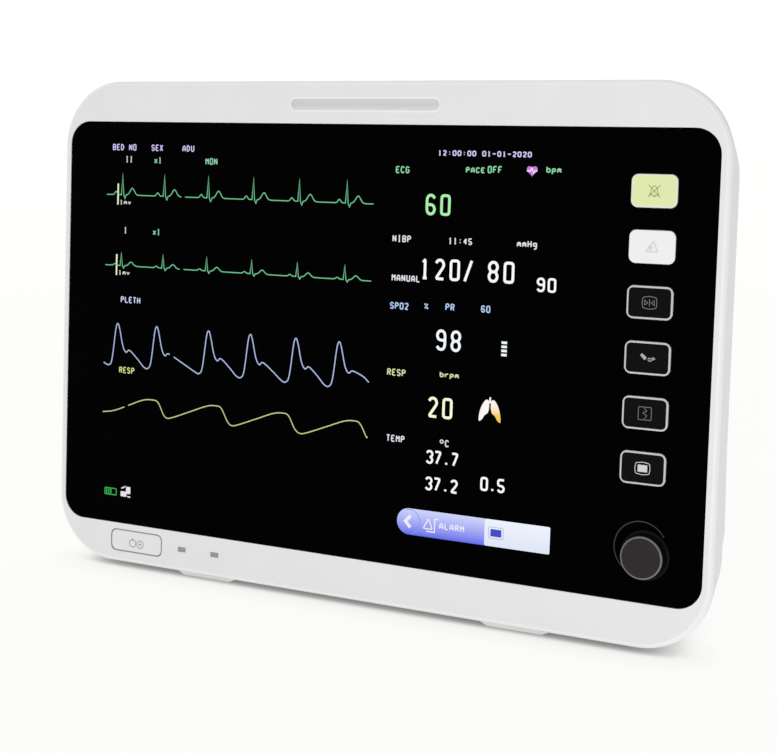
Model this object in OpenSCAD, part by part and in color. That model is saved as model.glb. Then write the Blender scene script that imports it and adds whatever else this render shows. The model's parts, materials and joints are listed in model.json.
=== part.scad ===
// Bedside patient monitor: a wide front with a flush black panel, six keys and
// a selector knob, on a narrower rear housing with sockets, recorder, battery,
// folding carry handle and rear mounting points.

/* [Front panel] */
// Width of the black front panel
panel_w = 330; // [324:1:336]
// Height of the black front panel
panel_h = 200; // [196:1:204]
// Corner radius of the black front panel
panel_r = 11; // [6:0.5:16]
// Thickness of the black front panel
panel_t = 2; // [1.5:0.1:2.4]
// Backward lean of the whole front, in degrees
lean = 4; // [2:0.5:5]

/* [Bezel] */
// Margin of the bezel beside the panel
side_margin = 4.5; // [4:0.5:8]
// Margin of the bezel above and below the panel
end_margin = 20; // [20:0.5:24]
// Corner radius of the bezel's front outline
bezel_r = 32; // [28:1:34]
// Corner radius of the bezel's rear rim
bezel_rear_r = 41; // [40:1:46]
// Depth of the bezel from face to rear rim
bezel_d = 14; // [14:0.5:15]
// Rounding of the bezel's front edge
bezel_edge = 3; // [1:0.5:3.5]
// Height of the gap under the bezel
foot_gap = 1.5; // [1:0.5:4]

/* [Keys] */
// Width of a key
key_w = 20; // [18:0.5:20]
// Height of a key
key_h = 14; // [10:0.5:14]
// Corner radius of a key
key_r = 3; // [1:0.5:4]
// Spacing of the keys
key_pitch = 23.3; // [21:0.1:23.5]
// Distance of the key column from the panel's centre
key_x = 137.6; // [136:0.1:139]
// Height of the top key above the panel's centre
key_top = 73.8; // [72:0.1:76]
// Travel of a key
key_travel = 0.6; // [0.3:0.1:0.6]

/* [Selector knob] */
// Distance of the knob from the panel's centre line
knob_x = 140.5; // [138:0.5:141]
// Distance of the knob below the panel's centre
knob_drop = 79.3; // [78:0.1:81]
// Diameter of the knob's face
knob_face_d = 18.4; // [16:0.2:19]
// Diameter of the knob's skirt
knob_skirt_d = 21.4; // [21.4:0.2:24]
// Height of the knob above its skirt
knob_h = 5; // [4.6:0.2:10]

/* [Power button and lamps] */
// Width of the power button
power_w = 30; // [26:0.5:31]
// Height of the power button
power_h = 10.3; // [8:0.1:10.5]
// Distance of the power button left of centre
power_x = 120.5; // [119:0.5:121]
// Distance of the power button and lamps below centre
power_drop = 108.7; // [108:0.1:109]
// Width of the alarm lamp's slot
alarm_w = 76; // [60:1:78]
// Height of the alarm lamp's slot
alarm_h = 5.2; // [3:0.2:6]
// Height of the alarm lamp above the panel's centre
alarm_rise = 109; // [108.5:0.1:110]

/* [Display] */
// Distance of the display's centre left of the panel's centre
display_x = 22.5; // [21:0.5:24]
// Width of the display module
display_w = 262; // [258:1:262]
// Height of the display module
display_h = 202; // [198:1:202]
// Thickness of the display module
display_t = 8.4; // [6:0.2:8.4]

/* [Rear housing] */
// Width of the shallow tray behind the bezel
tray_w = 326; // [325:1:327]
// Height of the shallow tray behind the bezel
tray_h = 232; // [231:1:233]
// Distance from the panel's centre to the back of the tray
tray_back = 38; // [37.5:0.5:38.5]
// Width of the deep rear pod
pod_w = 270; // [270:1:272]
// Height of the rear pod's underside above the table
pod_low = 10; // [9.5:0.5:10.5]
// Height of the rear pod's top above the table
pod_top = 200; // [200:1:202]
// Distance from the panel's centre to the back of the pod
pod_back = 126; // [126:1:130]
// Wall thickness of the rear housing
wall = 2.5; // [2.4:0.1:2.6]
// Spacing of the four rear mounting points
mount_pitch = 75; // [75, 100]

/* [Carry handle] */
// Length of the handle's arms
handle_reach = 64; // [60:1:64]
// Distance between the middles of the handle's arms
handle_span = 200; // [190:1:200]
// Diameter of the grip
grip_d = 15; // [13:0.5:15]

/* [Hidden] */
$fn = 48;

// Colours
shell_white = "#e6e6e3";
panel_black = "#0b0b0c";
key_lime = "#dfe9a4";
key_white = "#f2f2f2";
key_dark = "#1d191b";
knob_dark = "#3a3435";
rubber_grey = "#8b8c8a";
board_green = "#1f5b3a";
steel_grey = "#a9adb0";
plastic_black = "#202123";
brass_yellow = "#c9a44c";
paper_white = "#f5f3ea";

// Front assembly, measured along the leaning panel's own depth
panel_set_back = 0.2;
gasket_t = 0.5;
face_t = 4.2;
bezel_wall = 2.6;
rear_rim_t = 3;
bezel_w = panel_w + 2 * side_margin;
bezel_h = panel_h + 2 * end_margin;
ledge_front = panel_set_back + panel_t + gasket_t;
pocket_gap = 0.2;
moving_gap = 0.3;
display_front = face_t + 0.4;
display_window = [250, 188.5];
bracket_front = display_front + display_t + 0.3;
bracket_t = 1.2;
corner_screw = [141.5, 105];
bracket_posts = [[-100, 109], [80, 109], [-40, -109], [80, -109]];
key_zs = [for (i = [0:5]) key_top - i * key_pitch];
knob_z = -knob_drop;
led_xs = [-93.3, -74.3];
led_size = [4.6, 2.4];
board_t = 1.6;
board_front = 8.9;
skirt_t = 1.2;
knob_back = -0.5;
knob_face = knob_back - skirt_t - knob_h;
knob_chamfer = 0.7;

// Placing the leaning front over the table and the whole object about the origin
panel_z = foot_gap + bezel_h / 2 * cos(lean) + bezel_d * sin(lean);
knob_lip = knob_drop + knob_face_d / 2 - knob_chamfer;
knob_reach = -knob_face * cos(lean) + knob_lip * sin(lean);
panel_y = -(pod_back - knob_reach) / 2;

// Rear housing
tray_r = 40;
pod_r = 14;
pod_h = pod_top - pod_low;
pod_mid = (pod_top + pod_low) / 2;
pod_side = pod_w / 2;
flange_t = 2.5;
boss_floor = 3;
vent_count = 23;
vent_pitch = 8;
speaker_pos = [70, 110];
mount_z = 115;
insert_len = 10;
insert_r = 3.5;
port_z = 36;
stud_x = -112;
stud_r = 3;
stud_cup_r = 10;
stud_cup_depth = 9;
chassis_front = 40.5;
chassis_t = 1.2;
chassis_fixings = [[-123, 57], [123, 57], [-123, 174], [123, 174]];

// Doors on the right side
door_t = 2.3;
hinge_r = 1.75;
door_pin_r = 0.75;
hinge_x = pod_side - hinge_r - 0.05;
battery_bay = [62, 116, 18, 50];
recorder_bay = [46, 116, 84, 164];
paper_pos = [114, 112];
paper_r = 17;
spindle_r = 5.95;
platen_pos = [126, 156];
platen_r = 4;

// Handle
handle_y = 52;
handle_z = 211;
arm_t = 10;
lug_t = 8;
handle_pin_r = 3;
running_gap = 0.05;

// Sockets on the left side: distance behind the panel's centre, and height
connector_bay = [46, 116, 88, 184];
ecg_pos = [65, 160];
spo2_pos = [97, 160];
nibp_pos = [65, 116];
temp_pos = [[97, 127], [97, 107]];

// World depth of a point a given distance behind the panel's centre
function back(d) = panel_y + d;

// Frame of the leaning front: X to the right, Y into the object, Z up the panel
module front_frame() {
    translate([0, panel_y, panel_z]) rotate([-lean, 0, 0]) children();
}

// Plate made from a flat outline in X and Z, starting at depth y0
module plate(y0, t) {
    translate([0, y0 + t, 0]) rotate([90, 0, 0]) linear_extrude(t) children();
}

// Plate made from a flat outline in Y and Z, starting at x0
module side_plate(x0, t) {
    translate([x0, 0, 0]) rotate([90, 0, 90]) linear_extrude(t) children();
}

// Round bar along the depth axis
module peg(x, z, r, y0, y1) {
    translate([x, y0, z]) rotate([-90, 0, 0]) cylinder(h = y1 - y0, r = r);
}

// Round bar across the object
module cross_bar(x0, x1, y, z, r) {
    translate([x0, y, z]) rotate([0, 90, 0]) cylinder(h = x1 - x0, r = r);
}

module rounded_rect(w, h, r) {
    square([w - 2 * r, h], center = true);
    square([w, h - 2 * r], center = true);
    for (sx = [-1, 1], sy = [-1, 1]) {
        translate([sx * (w / 2 - r), sy * (h / 2 - r)]) circle(r);
    }
}

module pill(w, h) {
    square([w - h, h], center = true);
    for (sx = [-1, 1]) translate([sx * (w - h) / 2, 0]) circle(h / 2);
}

// Box from a low corner to a high corner
module span_box(low, high) {
    translate(low) cube(high - low);
}

// Everything in front of the plane where bezel and housing meet
module front_space() {
    front_frame() span_box([-300, -300, -300], [300, bezel_d, 300]);
}

// ---- Front ----

// Disc with a rounded front edge at each front corner of the bezel
module bezel_corner() {
    steps = 6;
    edge = [for (i = [0:steps]) [
        bezel_r - bezel_edge + bezel_edge * sin(i * 90 / steps),
        bezel_edge - bezel_edge * cos(i * 90 / steps)
    ]];
    rotate([-90, 0, 0]) rotate_extrude($fn = 64)
        polygon(concat([[0, 0]], edge, [[bezel_r, bezel_edge + 1], [0, bezel_edge + 1]]));
}

// Front outline with tight corners, running back into a rim with wider corners
module bezel_block() {
    x_front = bezel_w / 2 - bezel_r;
    z_front = bezel_h / 2 - bezel_r;
    x_rear = bezel_w / 2 - bezel_rear_r;
    z_rear = bezel_h / 2 - bezel_rear_r;
    hull() for (sx = [-1, 1], sz = [-1, 1]) {
        translate([sx * x_front, 0, sz * z_front]) bezel_corner();
        peg(sx * x_rear, sz * z_rear, bezel_rear_r, bezel_d - rear_rim_t, bezel_d, $fn = 96);
    }
}

module bezel_hollow() {
    difference() {
        plate(face_t, bezel_d) {
            rounded_rect(bezel_w - 2 * bezel_wall, bezel_h - 2 * bezel_wall, bezel_rear_r - bezel_wall);
        }
        for (sx = [-1, 1], sz = [-1, 1]) {
            peg(sx * corner_screw[0], sz * corner_screw[1], 3.5, 0, bezel_d);
        }
        for (p = bracket_posts) peg(p[0], p[1], 3.5, 0, bracket_front);
    }
}

module key_hole_outline() {
    for (z = key_zs) translate([key_x, z]) {
        rounded_rect(key_w + 2 * moving_gap, key_h + 2 * moving_gap, key_r + moving_gap);
    }
}

module bezel_openings() {
    plate(-1, 1 + ledge_front) {
        rounded_rect(panel_w + 2 * pocket_gap, panel_h + 2 * pocket_gap, panel_r + pocket_gap);
    }
    translate([-display_x, 0, 0]) plate(-1, bezel_d) square(display_window, center = true);
    plate(0, bezel_d) key_hole_outline();
    peg(knob_x, knob_z, 3.6, 0, bezel_d);
    translate([-power_x, 0, -power_drop]) plate(-1, bezel_d) {
        rounded_rect(power_w + 2 * moving_gap, power_h + 2 * moving_gap, 3 + moving_gap);
    }
    translate([0, 0, alarm_rise]) plate(-1, bezel_d) pill(alarm_w, alarm_h);
    for (x = led_xs) translate([x, 0, -power_drop]) plate(-1, bezel_d) {
        square(led_size, center = true);
    }
    for (sx = [-1, 1], sz = [-1, 1]) {
        peg(sx * corner_screw[0], sz * corner_screw[1], 1.5, 6, bezel_d + 1);
    }
    for (p = bracket_posts) peg(p[0], p[1], 1.25, 6, bezel_d + 1);
}

module front_bezel() {
    color(shell_white) front_frame() difference() {
        bezel_block();
        bezel_hollow();
        bezel_openings();
    }
}

module front_panel() {
    color(panel_black) front_frame() difference() {
        plate(panel_set_back, panel_t) rounded_rect(panel_w, panel_h, panel_r);
        plate(-1, 6) key_hole_outline();
        peg(knob_x, knob_z, 6.5, -1, 6);
    }
}

module panel_gasket() {
    color(plastic_black) front_frame() difference() {
        plate(panel_set_back + panel_t, gasket_t) rounded_rect(panel_w - 1, panel_h - 1, panel_r);
        plate(0, 6) rounded_rect(panel_w - 8, panel_h - 8, panel_r - 3.5);
    }
}

// Key cap through the panel, with a flange and a stem behind the ledge
module key(i) {
    front_frame() translate([key_x, 0, key_zs[i]]) {
        plate(0, face_t + 0.4) rounded_rect(key_w, key_h, key_r);
        plate(face_t + 0.4, 1) rounded_rect(key_w + 2.4, key_h + 2.4, key_r);
        peg(0, 0, 2.5, face_t + 1.4, 7);
    }
}

module alarm_silence_key() { color(key_lime) key(0); }
module alarm_pause_key() { color(key_white) key(1); }
module freeze_key() { color(key_dark) key(2); }
module nibp_key() { color(key_dark) key(3); }
module record_key() { color(key_dark) key(4); }
module menu_key() { color(key_dark) key(5); }

// Silicone mat with one dome under each key
module key_mat() {
    color(rubber_grey) front_frame() {
        translate([key_x - 1, 0, 15]) plate(board_front - 0.6, 0.6) rounded_rect(26, 140, 3);
        for (z = key_zs) peg(key_x, z, 4, 7 + key_travel + 0.1, board_front - 0.3);
    }
}

module key_board() {
    color(board_green) front_frame() {
        translate([key_x - 1, 0, 12]) plate(board_front, board_t) square([30, 152], center = true);
        translate([key_x + 2, 0, -52]) plate(board_front + board_t, 5) square([10, 16], center = true);
    }
}

// Rotary encoder with a push switch
module encoder_body() {
    color(steel_grey) front_frame() difference() {
        union() {
            translate([knob_x, 0, knob_z]) plate(6.4, 7) square([14, 14], center = true);
            peg(knob_x, knob_z, 3.5, 1.2, 7);
        }
        peg(knob_x, knob_z, 3 + running_gap, 0, 10);
        peg(knob_x, knob_z, 5.6, 7.6, 12.6);
    }
}

module encoder_nut() {
    color(steel_grey) front_frame() difference() {
        translate([knob_x, ledge_front, knob_z]) rotate([90, 0, 0]) cylinder(h = 1.4, r = 5.6, $fn = 6);
        peg(knob_x, knob_z, 3.5, 0, 6);
    }
}

// Ring that carries the shaft's end down onto the push switch
module encoder_plunger() {
    color(plastic_black) front_frame() difference() {
        peg(knob_x, knob_z, 5, 10.4, 11.8);
        peg(knob_x, knob_z, 2.5 + running_gap, 10, 12);
    }
}

module encoder_shaft() {
    color(steel_grey) front_frame() {
        peg(knob_x, knob_z, 3, knob_face + 2, 8.4);
        peg(knob_x, knob_z, 4.6, 8.2, 9.9);
        peg(knob_x, knob_z, 2.5, 9.8, 11.6);
    }
}

module selector_knob() {
    base_r = knob_face_d / 2 + 0.8;
    color(knob_dark) front_frame() difference() {
        translate([knob_x, knob_back, knob_z]) rotate([90, 0, 0]) rotate_extrude() polygon([
            [0, 0],
            [knob_skirt_d / 2 - 0.3, 0],
            [knob_skirt_d / 2, 0.4],
            [base_r + 0.6, skirt_t],
            [base_r, skirt_t + 0.6],
            [knob_face_d / 2 + 0.3, skirt_t + knob_h - 1],
            [knob_face_d / 2 - knob_chamfer, skirt_t + knob_h],
            [0, skirt_t + knob_h],
        ]);
        peg(knob_x, knob_z, 3, knob_face + 2, 1);
    }
}

module power_button() {
    color(shell_white) front_frame() translate([-power_x, 0, -power_drop]) {
        plate(0, face_t + 0.4) rounded_rect(power_w, power_h, 3);
        plate(face_t + 0.4, 1) rounded_rect(power_w + 2, power_h + 1.2, 3);
        peg(0, 0, 2, face_t + 1.4, 7);
    }
}

module led_windows() {
    color("#c9cbc8") front_frame() for (x = led_xs) {
        translate([x, 0, -power_drop]) plate(0.1, 6.4) square(led_size, center = true);
    }
}

module power_board() {
    color(board_green) front_frame() {
        translate([-99, 0, -109.5]) plate(board_front, board_t) square([70, 8.6], center = true);
        peg(-power_x, -power_drop, 3, 7 + key_travel + 0.2, board_front + 0.1);
        for (x = led_xs) translate([x, 0, -power_drop]) {
            plate(7, board_front - 6.9) square([3.4, 2.2], center = true);
        }
    }
}

module alarm_lens() {
    color("#d9dad6") front_frame() translate([0, 0, alarm_rise]) {
        plate(0.8, face_t - 0.8) pill(alarm_w - 0.2, alarm_h - 0.2);
        plate(face_t, 1.2) pill(alarm_w + 4, alarm_h + 4);
    }
}

module alarm_board() {
    color(board_green) front_frame() {
        translate([0, 0, 109.6]) plate(board_front, board_t) square([84, 9.6], center = true);
        for (i = [-3:3]) translate([i * 11, 0, alarm_rise]) {
            plate(7, board_front - 6.9) square([3.2, 2.8], center = true);
        }
    }
}

// ---- Display ----

module display_module() {
    color(steel_grey) front_frame() translate([-display_x, 0, 0]) {
        difference() {
            plate(display_front, display_t) square([display_w, display_h], center = true);
            plate(display_front - 1, 1.6) square([248, 186.5], center = true);
        }
    }
}

module display_bracket() {
    color(steel_grey) front_frame() difference() {
        translate([-15, 0, 0]) plate(bracket_front, bracket_t) rounded_rect(290, 224, 45);
        translate([-15, 0, 0]) plate(bracket_front - 1, 4) rounded_rect(200, 150, 10);
        for (p = bracket_posts) peg(p[0], p[1], 1.6, 0, 30);
        for (sx = [-1, 1], sz = [-1, 1]) {
            peg(sx * corner_screw[0], sz * corner_screw[1], 5.5, 0, 30);
        }
    }
}

module bracket_screws() {
    color(steel_grey) front_frame() for (p = bracket_posts) {
        head = bracket_front + bracket_t;
        peg(p[0], p[1], 1.25, head - 7, head);
        peg(p[0], p[1], 2.6, head, head + 1.8);
    }
}

// Flat cable from the display to the main board, through the chassis plate
module display_cable() {
    color("#d8d8d4") span_box([-40, back(9.4), 70], [-16, back(48), 70.5]);
}

// ---- Rear housing ----

module tray_block() {
    difference() {
        translate([0, 0, panel_z]) plate(back(-20), 20 + tray_back) rounded_rect(tray_w, tray_h, tray_r);
        front_space();
    }
}

module handle_lugs() {
    x_in = (handle_span + arm_t) / 2 + 0.4;
    y = back(handle_y);
    for (s = [0, 1]) mirror([s, 0, 0]) {
        span_box([x_in, y - 10, pod_top - 1], [x_in + lug_t, y + 10, handle_z]);
        cross_bar(x_in, x_in + lug_t, y, handle_z, 10);
    }
}

module housing_hollow() {
    translate([0, 0, panel_z]) plate(back(-20), 20 + tray_back - wall) {
        rounded_rect(tray_w - 2 * wall, tray_h - 2 * wall, tray_r - wall);
    }
    translate([0, 0, pod_mid]) plate(back(30), pod_back - wall - 30) {
        rounded_rect(pod_w - 2 * wall, pod_h - 2 * wall, pod_r - wall);
    }
}

module boss_rods(r, y0, y1) {
    front_frame() for (sx = [-1, 1], sz = [-1, 1]) {
        peg(sx * corner_screw[0], sz * corner_screw[1], r, y0, y1);
    }
}

module mount_points(r, y0, y1) {
    for (sx = [-1, 1], sz = [-1, 1]) {
        peg(sx * mount_pitch / 2, mount_z + sz * mount_pitch / 2, r, y0, y1);
    }
}

// Ledges on the side walls that the chassis plate is screwed to
module chassis_ledges() {
    for (s = [0, 1], z = [57, 174]) mirror([s, 0, 0]) {
        span_box([118, back(36), z - 7], [pod_side - 1, back(chassis_front), z + 7]);
    }
}

module chassis_holes() {
    for (p = chassis_fixings) peg(p[0], p[1], 1.5, back(35), back(chassis_front + 5));
}

module vents() {
    for (i = [0:vent_count - 1]) {
        x = (i - (vent_count - 1) / 2) * vent_pitch;
        translate([x, 0, 181]) plate(back(pod_back - 5), 10) rotate(90) pill(16, 3);
        translate([x, back(54), 0]) linear_extrude(pod_low + 8) rotate(90) pill(12, 3);
    }
    for (i = [-4:4]) {
        h = 2 * sqrt(17 * 17 - 14 * i * i);
        translate([speaker_pos[0] + i * 3.7, 0, speaker_pos[1]]) {
            plate(back(pod_back - 5), 10) rotate(90) pill(h, 1.8);
        }
    }
}

module bay_block(bay, x0, x1, gap) {
    span_box([x0, back(bay[0]) - gap, bay[2] - gap], [x1, back(bay[1]) + gap, bay[3] + gap]);
}

module rear_cutouts() {
    y0 = back(pod_back) - 8;
    y1 = back(pod_back) + 1;
    bay_block(battery_bay, pod_side - 6, pod_side + 1, 0);
    bay_block(recorder_bay, pod_side - 6, pod_side + 1, 0);
    bay_block(connector_bay, -pod_side - 1, -pod_side + 6, 0);
    span_box([-89, y0, port_z - 10], [-61, y1, port_z + 10]);
    span_box([12, y0, port_z - 7], [28, y1, port_z + 7]);
    span_box([41, y0, port_z - 8], [56, y1, port_z + 8]);
    span_box([68, y0, port_z - 6], [100, y1, port_z + 6]);
    peg(stud_x, port_z, stud_cup_r, back(pod_back) - stud_cup_depth, y1);
    peg(stud_x, port_z, stud_r + 0.5, back(pod_back) - 20, y1);
}

// Bores for the door hinge pins, in the walls at both ends of each bay
module door_pin_bars(extra) {
    for (bay = [battery_bay, recorder_bay]) {
        peg(hinge_x, bay[2] + 2.1, door_pin_r, back(bay[0]) - extra, back(bay[1]) + extra);
    }
}

module rear_housing() {
    color(shell_white) difference() {
        union() {
            difference() {
                union() {
                    tray_block();
                    front_frame() plate(bezel_d, flange_t) {
                        rounded_rect(bezel_w - 5, bezel_h - 5, bezel_rear_r - 2.5);
                    }
                    translate([0, 0, pod_mid]) {
                        plate(back(tray_back - wall), pod_back - tray_back + wall) {
                            rounded_rect(pod_w, pod_h, pod_r);
                        }
                    }
                }
                housing_hollow();
            }
            intersection() {
                boss_rods(4.8, bezel_d, 60);
                tray_block();
            }
            mount_points(5.5, back(pod_back) - insert_len - 1, back(pod_back) - 1);
            peg(stud_x, port_z, stud_cup_r + 3, back(pod_back) - stud_cup_depth - 2, back(pod_back) - 1);
            handle_lugs();
            chassis_ledges();
        }
        chassis_holes();
        boss_rods(1.7, bezel_d - 1, 60);
        boss_rods(3.4, bezel_d + boss_floor, 80);
        mount_points(insert_r, back(pod_back) - insert_len, back(pod_back) + 1);
        vents();
        rear_cutouts();
        door_pin_bars(2);
        cross_bar(-pod_side, pod_side, back(handle_y), handle_z, handle_pin_r);
    }
}

module housing_screws() {
    color(steel_grey) {
        boss_rods(1.5, 8, bezel_d + boss_floor);
        boss_rods(2.8, bezel_d + boss_floor, bezel_d + boss_floor + 2.2);
        head = back(chassis_front + chassis_t);
        for (p = chassis_fixings) {
            peg(p[0], p[1], 1.5, back(36.5), head);
            peg(p[0], p[1], 2.8, head, head + 2.2);
        }
    }
}

module mount_inserts() {
    color(brass_yellow) difference() {
        mount_points(insert_r, back(pod_back) - insert_len, back(pod_back) - 0.3);
        mount_points(2, back(pod_back) - insert_len - 1, back(pod_back));
    }
}

// ---- Inside the housing ----

module chassis_plate() {
    y0 = back(chassis_front);
    z0 = pod_low + wall;
    color(steel_grey) difference() {
        union() {
            span_box([-127, y0, 20], [127, y0 + chassis_t, 190]);
            span_box([-119, y0, z0], [119, y0 + chassis_t, 21]);
            span_box([-119, y0, z0], [119, y0 + 6, z0 + chassis_t]);
        }
        span_box([-46, y0 - 1, 66], [-10, y0 + 5, 76]);
        chassis_holes();
    }
}

module main_board() {
    y0 = back(48);
    color(board_green) {
        span_box([-94, y0, 60], [86, y0 + board_t, 188]);
        span_box([-30, y0 + 1, 120], [10, y0 + 12, 160]);
        span_box([40, y0 + 1, 80], [70, y0 + 8, 110]);
        span_box([-80, y0 + 1, 80], [-56, y0 + 7, 96]);
        for (x = [-88, 80], z = [66, 182]) peg(x, z, 2.5, back(41.7), y0 + 1);
    }
}

module parameter_board() {
    x0 = -104;
    color(board_green) {
        span_box([x0, back(52), 92], [x0 + board_t, back(118), 184]);
        span_box([x0 + 1, back(60), 100], [x0 + 9, back(100), 140]);
        span_box([x0 + 1, back(60), 148], [x0 + 7, back(84), 172]);
    }
}

// Open-frame supply: board, transformer, heat sink and capacitors
module power_supply() {
    y0 = back(46);
    y1 = back(104);
    color(board_green) {
        span_box([-106, y0, 18], [4, y1, 18 + board_t]);
        span_box([-60, y0 + 12, 19], [-28, y0 + 44, 46]);
        span_box([-20, y0 + 6, 19], [-14, y1 - 6, 44]);
        for (x = [-92, -74]) translate([x, y0 + 20, 19]) cylinder(h = 24, r = 8);
        for (x = [-100, -2], y = [y0 + 5, y1 - 5]) translate([x, y, pod_low + wall]) {
            cylinder(h = 18 - pod_low - wall + 0.5, r = 2.5);
        }
    }
}

module battery_pack() {
    color("#33363a") span_box([14, back(64), 21], [131, back(106), 46]);
}

module nibp_pump() {
    color(steel_grey) {
        cross_bar(-92, -40, back(98), 72, 13);
        cross_bar(-40, -24, back(98), 72, 9);
        cross_bar(-24, -18, back(98), 72, 2.4);
    }
}

module nibp_valves() {
    color(plastic_black) for (x = [2, 22]) {
        span_box([x, back(86), 58], [x + 14, back(110), 72]);
        translate([x + 7, back(98), 72]) cylinder(h = 8, r = 2.2);
    }
}

// Air tube from the hose fitting down past the parameter board to the pump
module tube_bend() {
    rotate_extrude(angle = 90) translate([10, 0]) circle(2.6);
}

module air_tube() {
    z_top = nibp_pos[1];
    x_drop = -113;
    z_run = 53;
    y0 = back(nibp_pos[0]);
    color("#cfd3d2") {
        cross_bar(-126, x_drop - 10, y0, z_top, 2.6);
        translate([x_drop - 10, y0, z_top - 10]) rotate([90, 0, 0]) tube_bend();
        translate([x_drop, y0, z_run + 10]) cylinder(h = z_top - z_run - 20, r = 2.6);
        translate([x_drop + 10, y0, z_run + 10]) rotate([90, 0, 0]) rotate([0, 0, 180]) tube_bend();
        cross_bar(x_drop + 10, -10, y0, z_run, 2.6);
    }
}

module speaker() {
    y1 = back(pod_back) - wall;
    color(plastic_black) {
        peg(speaker_pos[0], speaker_pos[1], 20, y1 - 4, y1);
        peg(speaker_pos[0], speaker_pos[1], 14, y1 - 13, y1 - 3);
    }
}

// ---- Sockets on the left ----

module at_socket(p) {
    translate([-pod_side, back(p[0]), p[1]]) rotate([0, -90, 0]) children();
}

module connector_panel() {
    color("#c8cac8") difference() {
        union() {
            bay_block(connector_bay, -pod_side + 0.2, -pod_side + wall, -0.1);
            bay_block(connector_bay, -pod_side + wall, -pod_side + wall + 1.5, 1.5);
        }
        at_socket(ecg_pos) translate([0, 0, -10]) cylinder(h = 20, r = 11);
        at_socket(spo2_pos) translate([0, 0, -10]) cylinder(h = 20, r = 9);
        at_socket(nibp_pos) translate([0, 0, -10]) cylinder(h = 20, r = 7);
        for (p = temp_pos) at_socket(p) translate([0, 0, -10]) cylinder(h = 20, r = 5.5);
    }
}

// Round keyed socket: shell, collar, and a centre block with contact holes
module round_socket(r, pins) {
    difference() {
        union() {
            translate([0, 0, -20]) cylinder(h = 22, r = r);
            translate([0, 0, -0.2]) cylinder(h = 1.6, r = r + 2);
        }
        difference() {
            translate([0, 0, -12]) cylinder(h = 20, r = r - 2.2);
            translate([0, 0, -13]) cylinder(h = 12.4, r = r - 4.4);
        }
        for (i = [0:pins - 1]) rotate(i * 360 / pins) translate([(r - 4.4) * 0.62, 0, -5]) {
            cylinder(h = 10, r = 0.7);
        }
    }
}

module ecg_socket() { color("#3f8f57") at_socket(ecg_pos) round_socket(11, 10); }
module spo2_socket() { color("#3c6fae") at_socket(spo2_pos) round_socket(9, 7); }

module nibp_fitting() {
    color(steel_grey) at_socket(nibp_pos) difference() {
        union() {
            translate([0, 0, -9]) cylinder(h = 15, r = 7);
            translate([0, 0, -0.2]) cylinder(h = 1.8, r = 9);
        }
        translate([0, 0, -5]) cylinder(h = 20, r = 4);
        translate([0, 0, -20]) cylinder(h = 20, r = 2.6);
    }
}

module temp_jacks() {
    color("#b8b2a0") for (p = temp_pos) at_socket(p) difference() {
        union() {
            translate([0, 0, -24]) cylinder(h = 25, r = 5.5);
            translate([0, 0, -0.2]) cylinder(h = 1.6, r = 7.4);
        }
        translate([0, 0, -20]) cylinder(h = 30, r = 3.2);
    }
}

// ---- Recorder and doors on the right ----

// Door in a side bay, hinged on a barrel along its lower edge
module bay_door(bay) {
    gap = 0.35;
    y0 = back(bay[0]) + gap;
    y1 = back(bay[1]) - gap;
    hinge_z = bay[2] + 2.1;
    difference() {
        union() {
            span_box([pod_side - door_t, y0, hinge_z], [pod_side - 0.05, y1, bay[3] - gap]);
            peg(hinge_x, hinge_z, hinge_r, y0, y1);
        }
        peg(hinge_x, hinge_z, door_pin_r + running_gap, y0 - 1, y1 + 1);
    }
}

module recorder_frame() {
    depth = 38;
    x0 = pod_side - wall - depth;
    color(plastic_black) difference() {
        bay_block(recorder_bay, x0, pod_side - wall, 2);
        bay_block(recorder_bay, x0 + 2, pod_side, 0);
        peg(paper_pos[0], paper_pos[1], spindle_r - 2,
            back(recorder_bay[0]) - 5, back(recorder_bay[1]) + 5);
        peg(hinge_x, recorder_bay[2] + 2.1, 3, back(0), back(130));
    }
}

module recorder_door() {
    y0 = back(recorder_bay[0]) + 6;
    y1 = back(recorder_bay[1]) - 6;
    color(shell_white) difference() {
        union() {
            difference() {
                bay_door(recorder_bay);
                span_box([pod_side - 6, y0 + 4, 161.2], [pod_side + 1, y1 - 4, 170]);
            }
            for (y = [y0, y1 - 2]) {
                span_box([platen_pos[0] - 3, y, platen_pos[1] - 5],
                    [pod_side - 1, y + 2, platen_pos[1] + 3]);
            }
        }
        peg(platen_pos[0], platen_pos[1], 1.5 + running_gap, y0 - 1, y1 + 1);
    }
}

module platen_roller() {
    y0 = back(recorder_bay[0]) + 6;
    y1 = back(recorder_bay[1]) - 6;
    color(plastic_black) {
        peg(platen_pos[0], platen_pos[1], platen_r, y0 + 2.4, y1 - 2.4);
        peg(platen_pos[0], platen_pos[1], 1.5, y0, y1);
    }
}

module paper_roll() {
    mid = back((recorder_bay[0] + recorder_bay[1]) / 2);
    color(paper_white) difference() {
        peg(paper_pos[0], paper_pos[1], paper_r, mid - 25, mid + 25);
        peg(paper_pos[0], paper_pos[1], spindle_r + running_gap, mid - 26, mid + 26);
    }
}

module paper_spindle() {
    y0 = back(recorder_bay[0]);
    y1 = back(recorder_bay[1]);
    color(plastic_black) {
        peg(paper_pos[0], paper_pos[1], spindle_r, y0, y1);
        peg(paper_pos[0], paper_pos[1], spindle_r - 2, y0 - 2, y1 + 2);
    }
}

module print_head() {
    color(steel_grey) span_box([99.4, back(54), 147], [121.5, back(108), 158]);
}

module battery_door() { color(shell_white) bay_door(battery_bay); }
module door_pins() { color(steel_grey) door_pin_bars(2); }

// ---- Ports on the back ----

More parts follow.
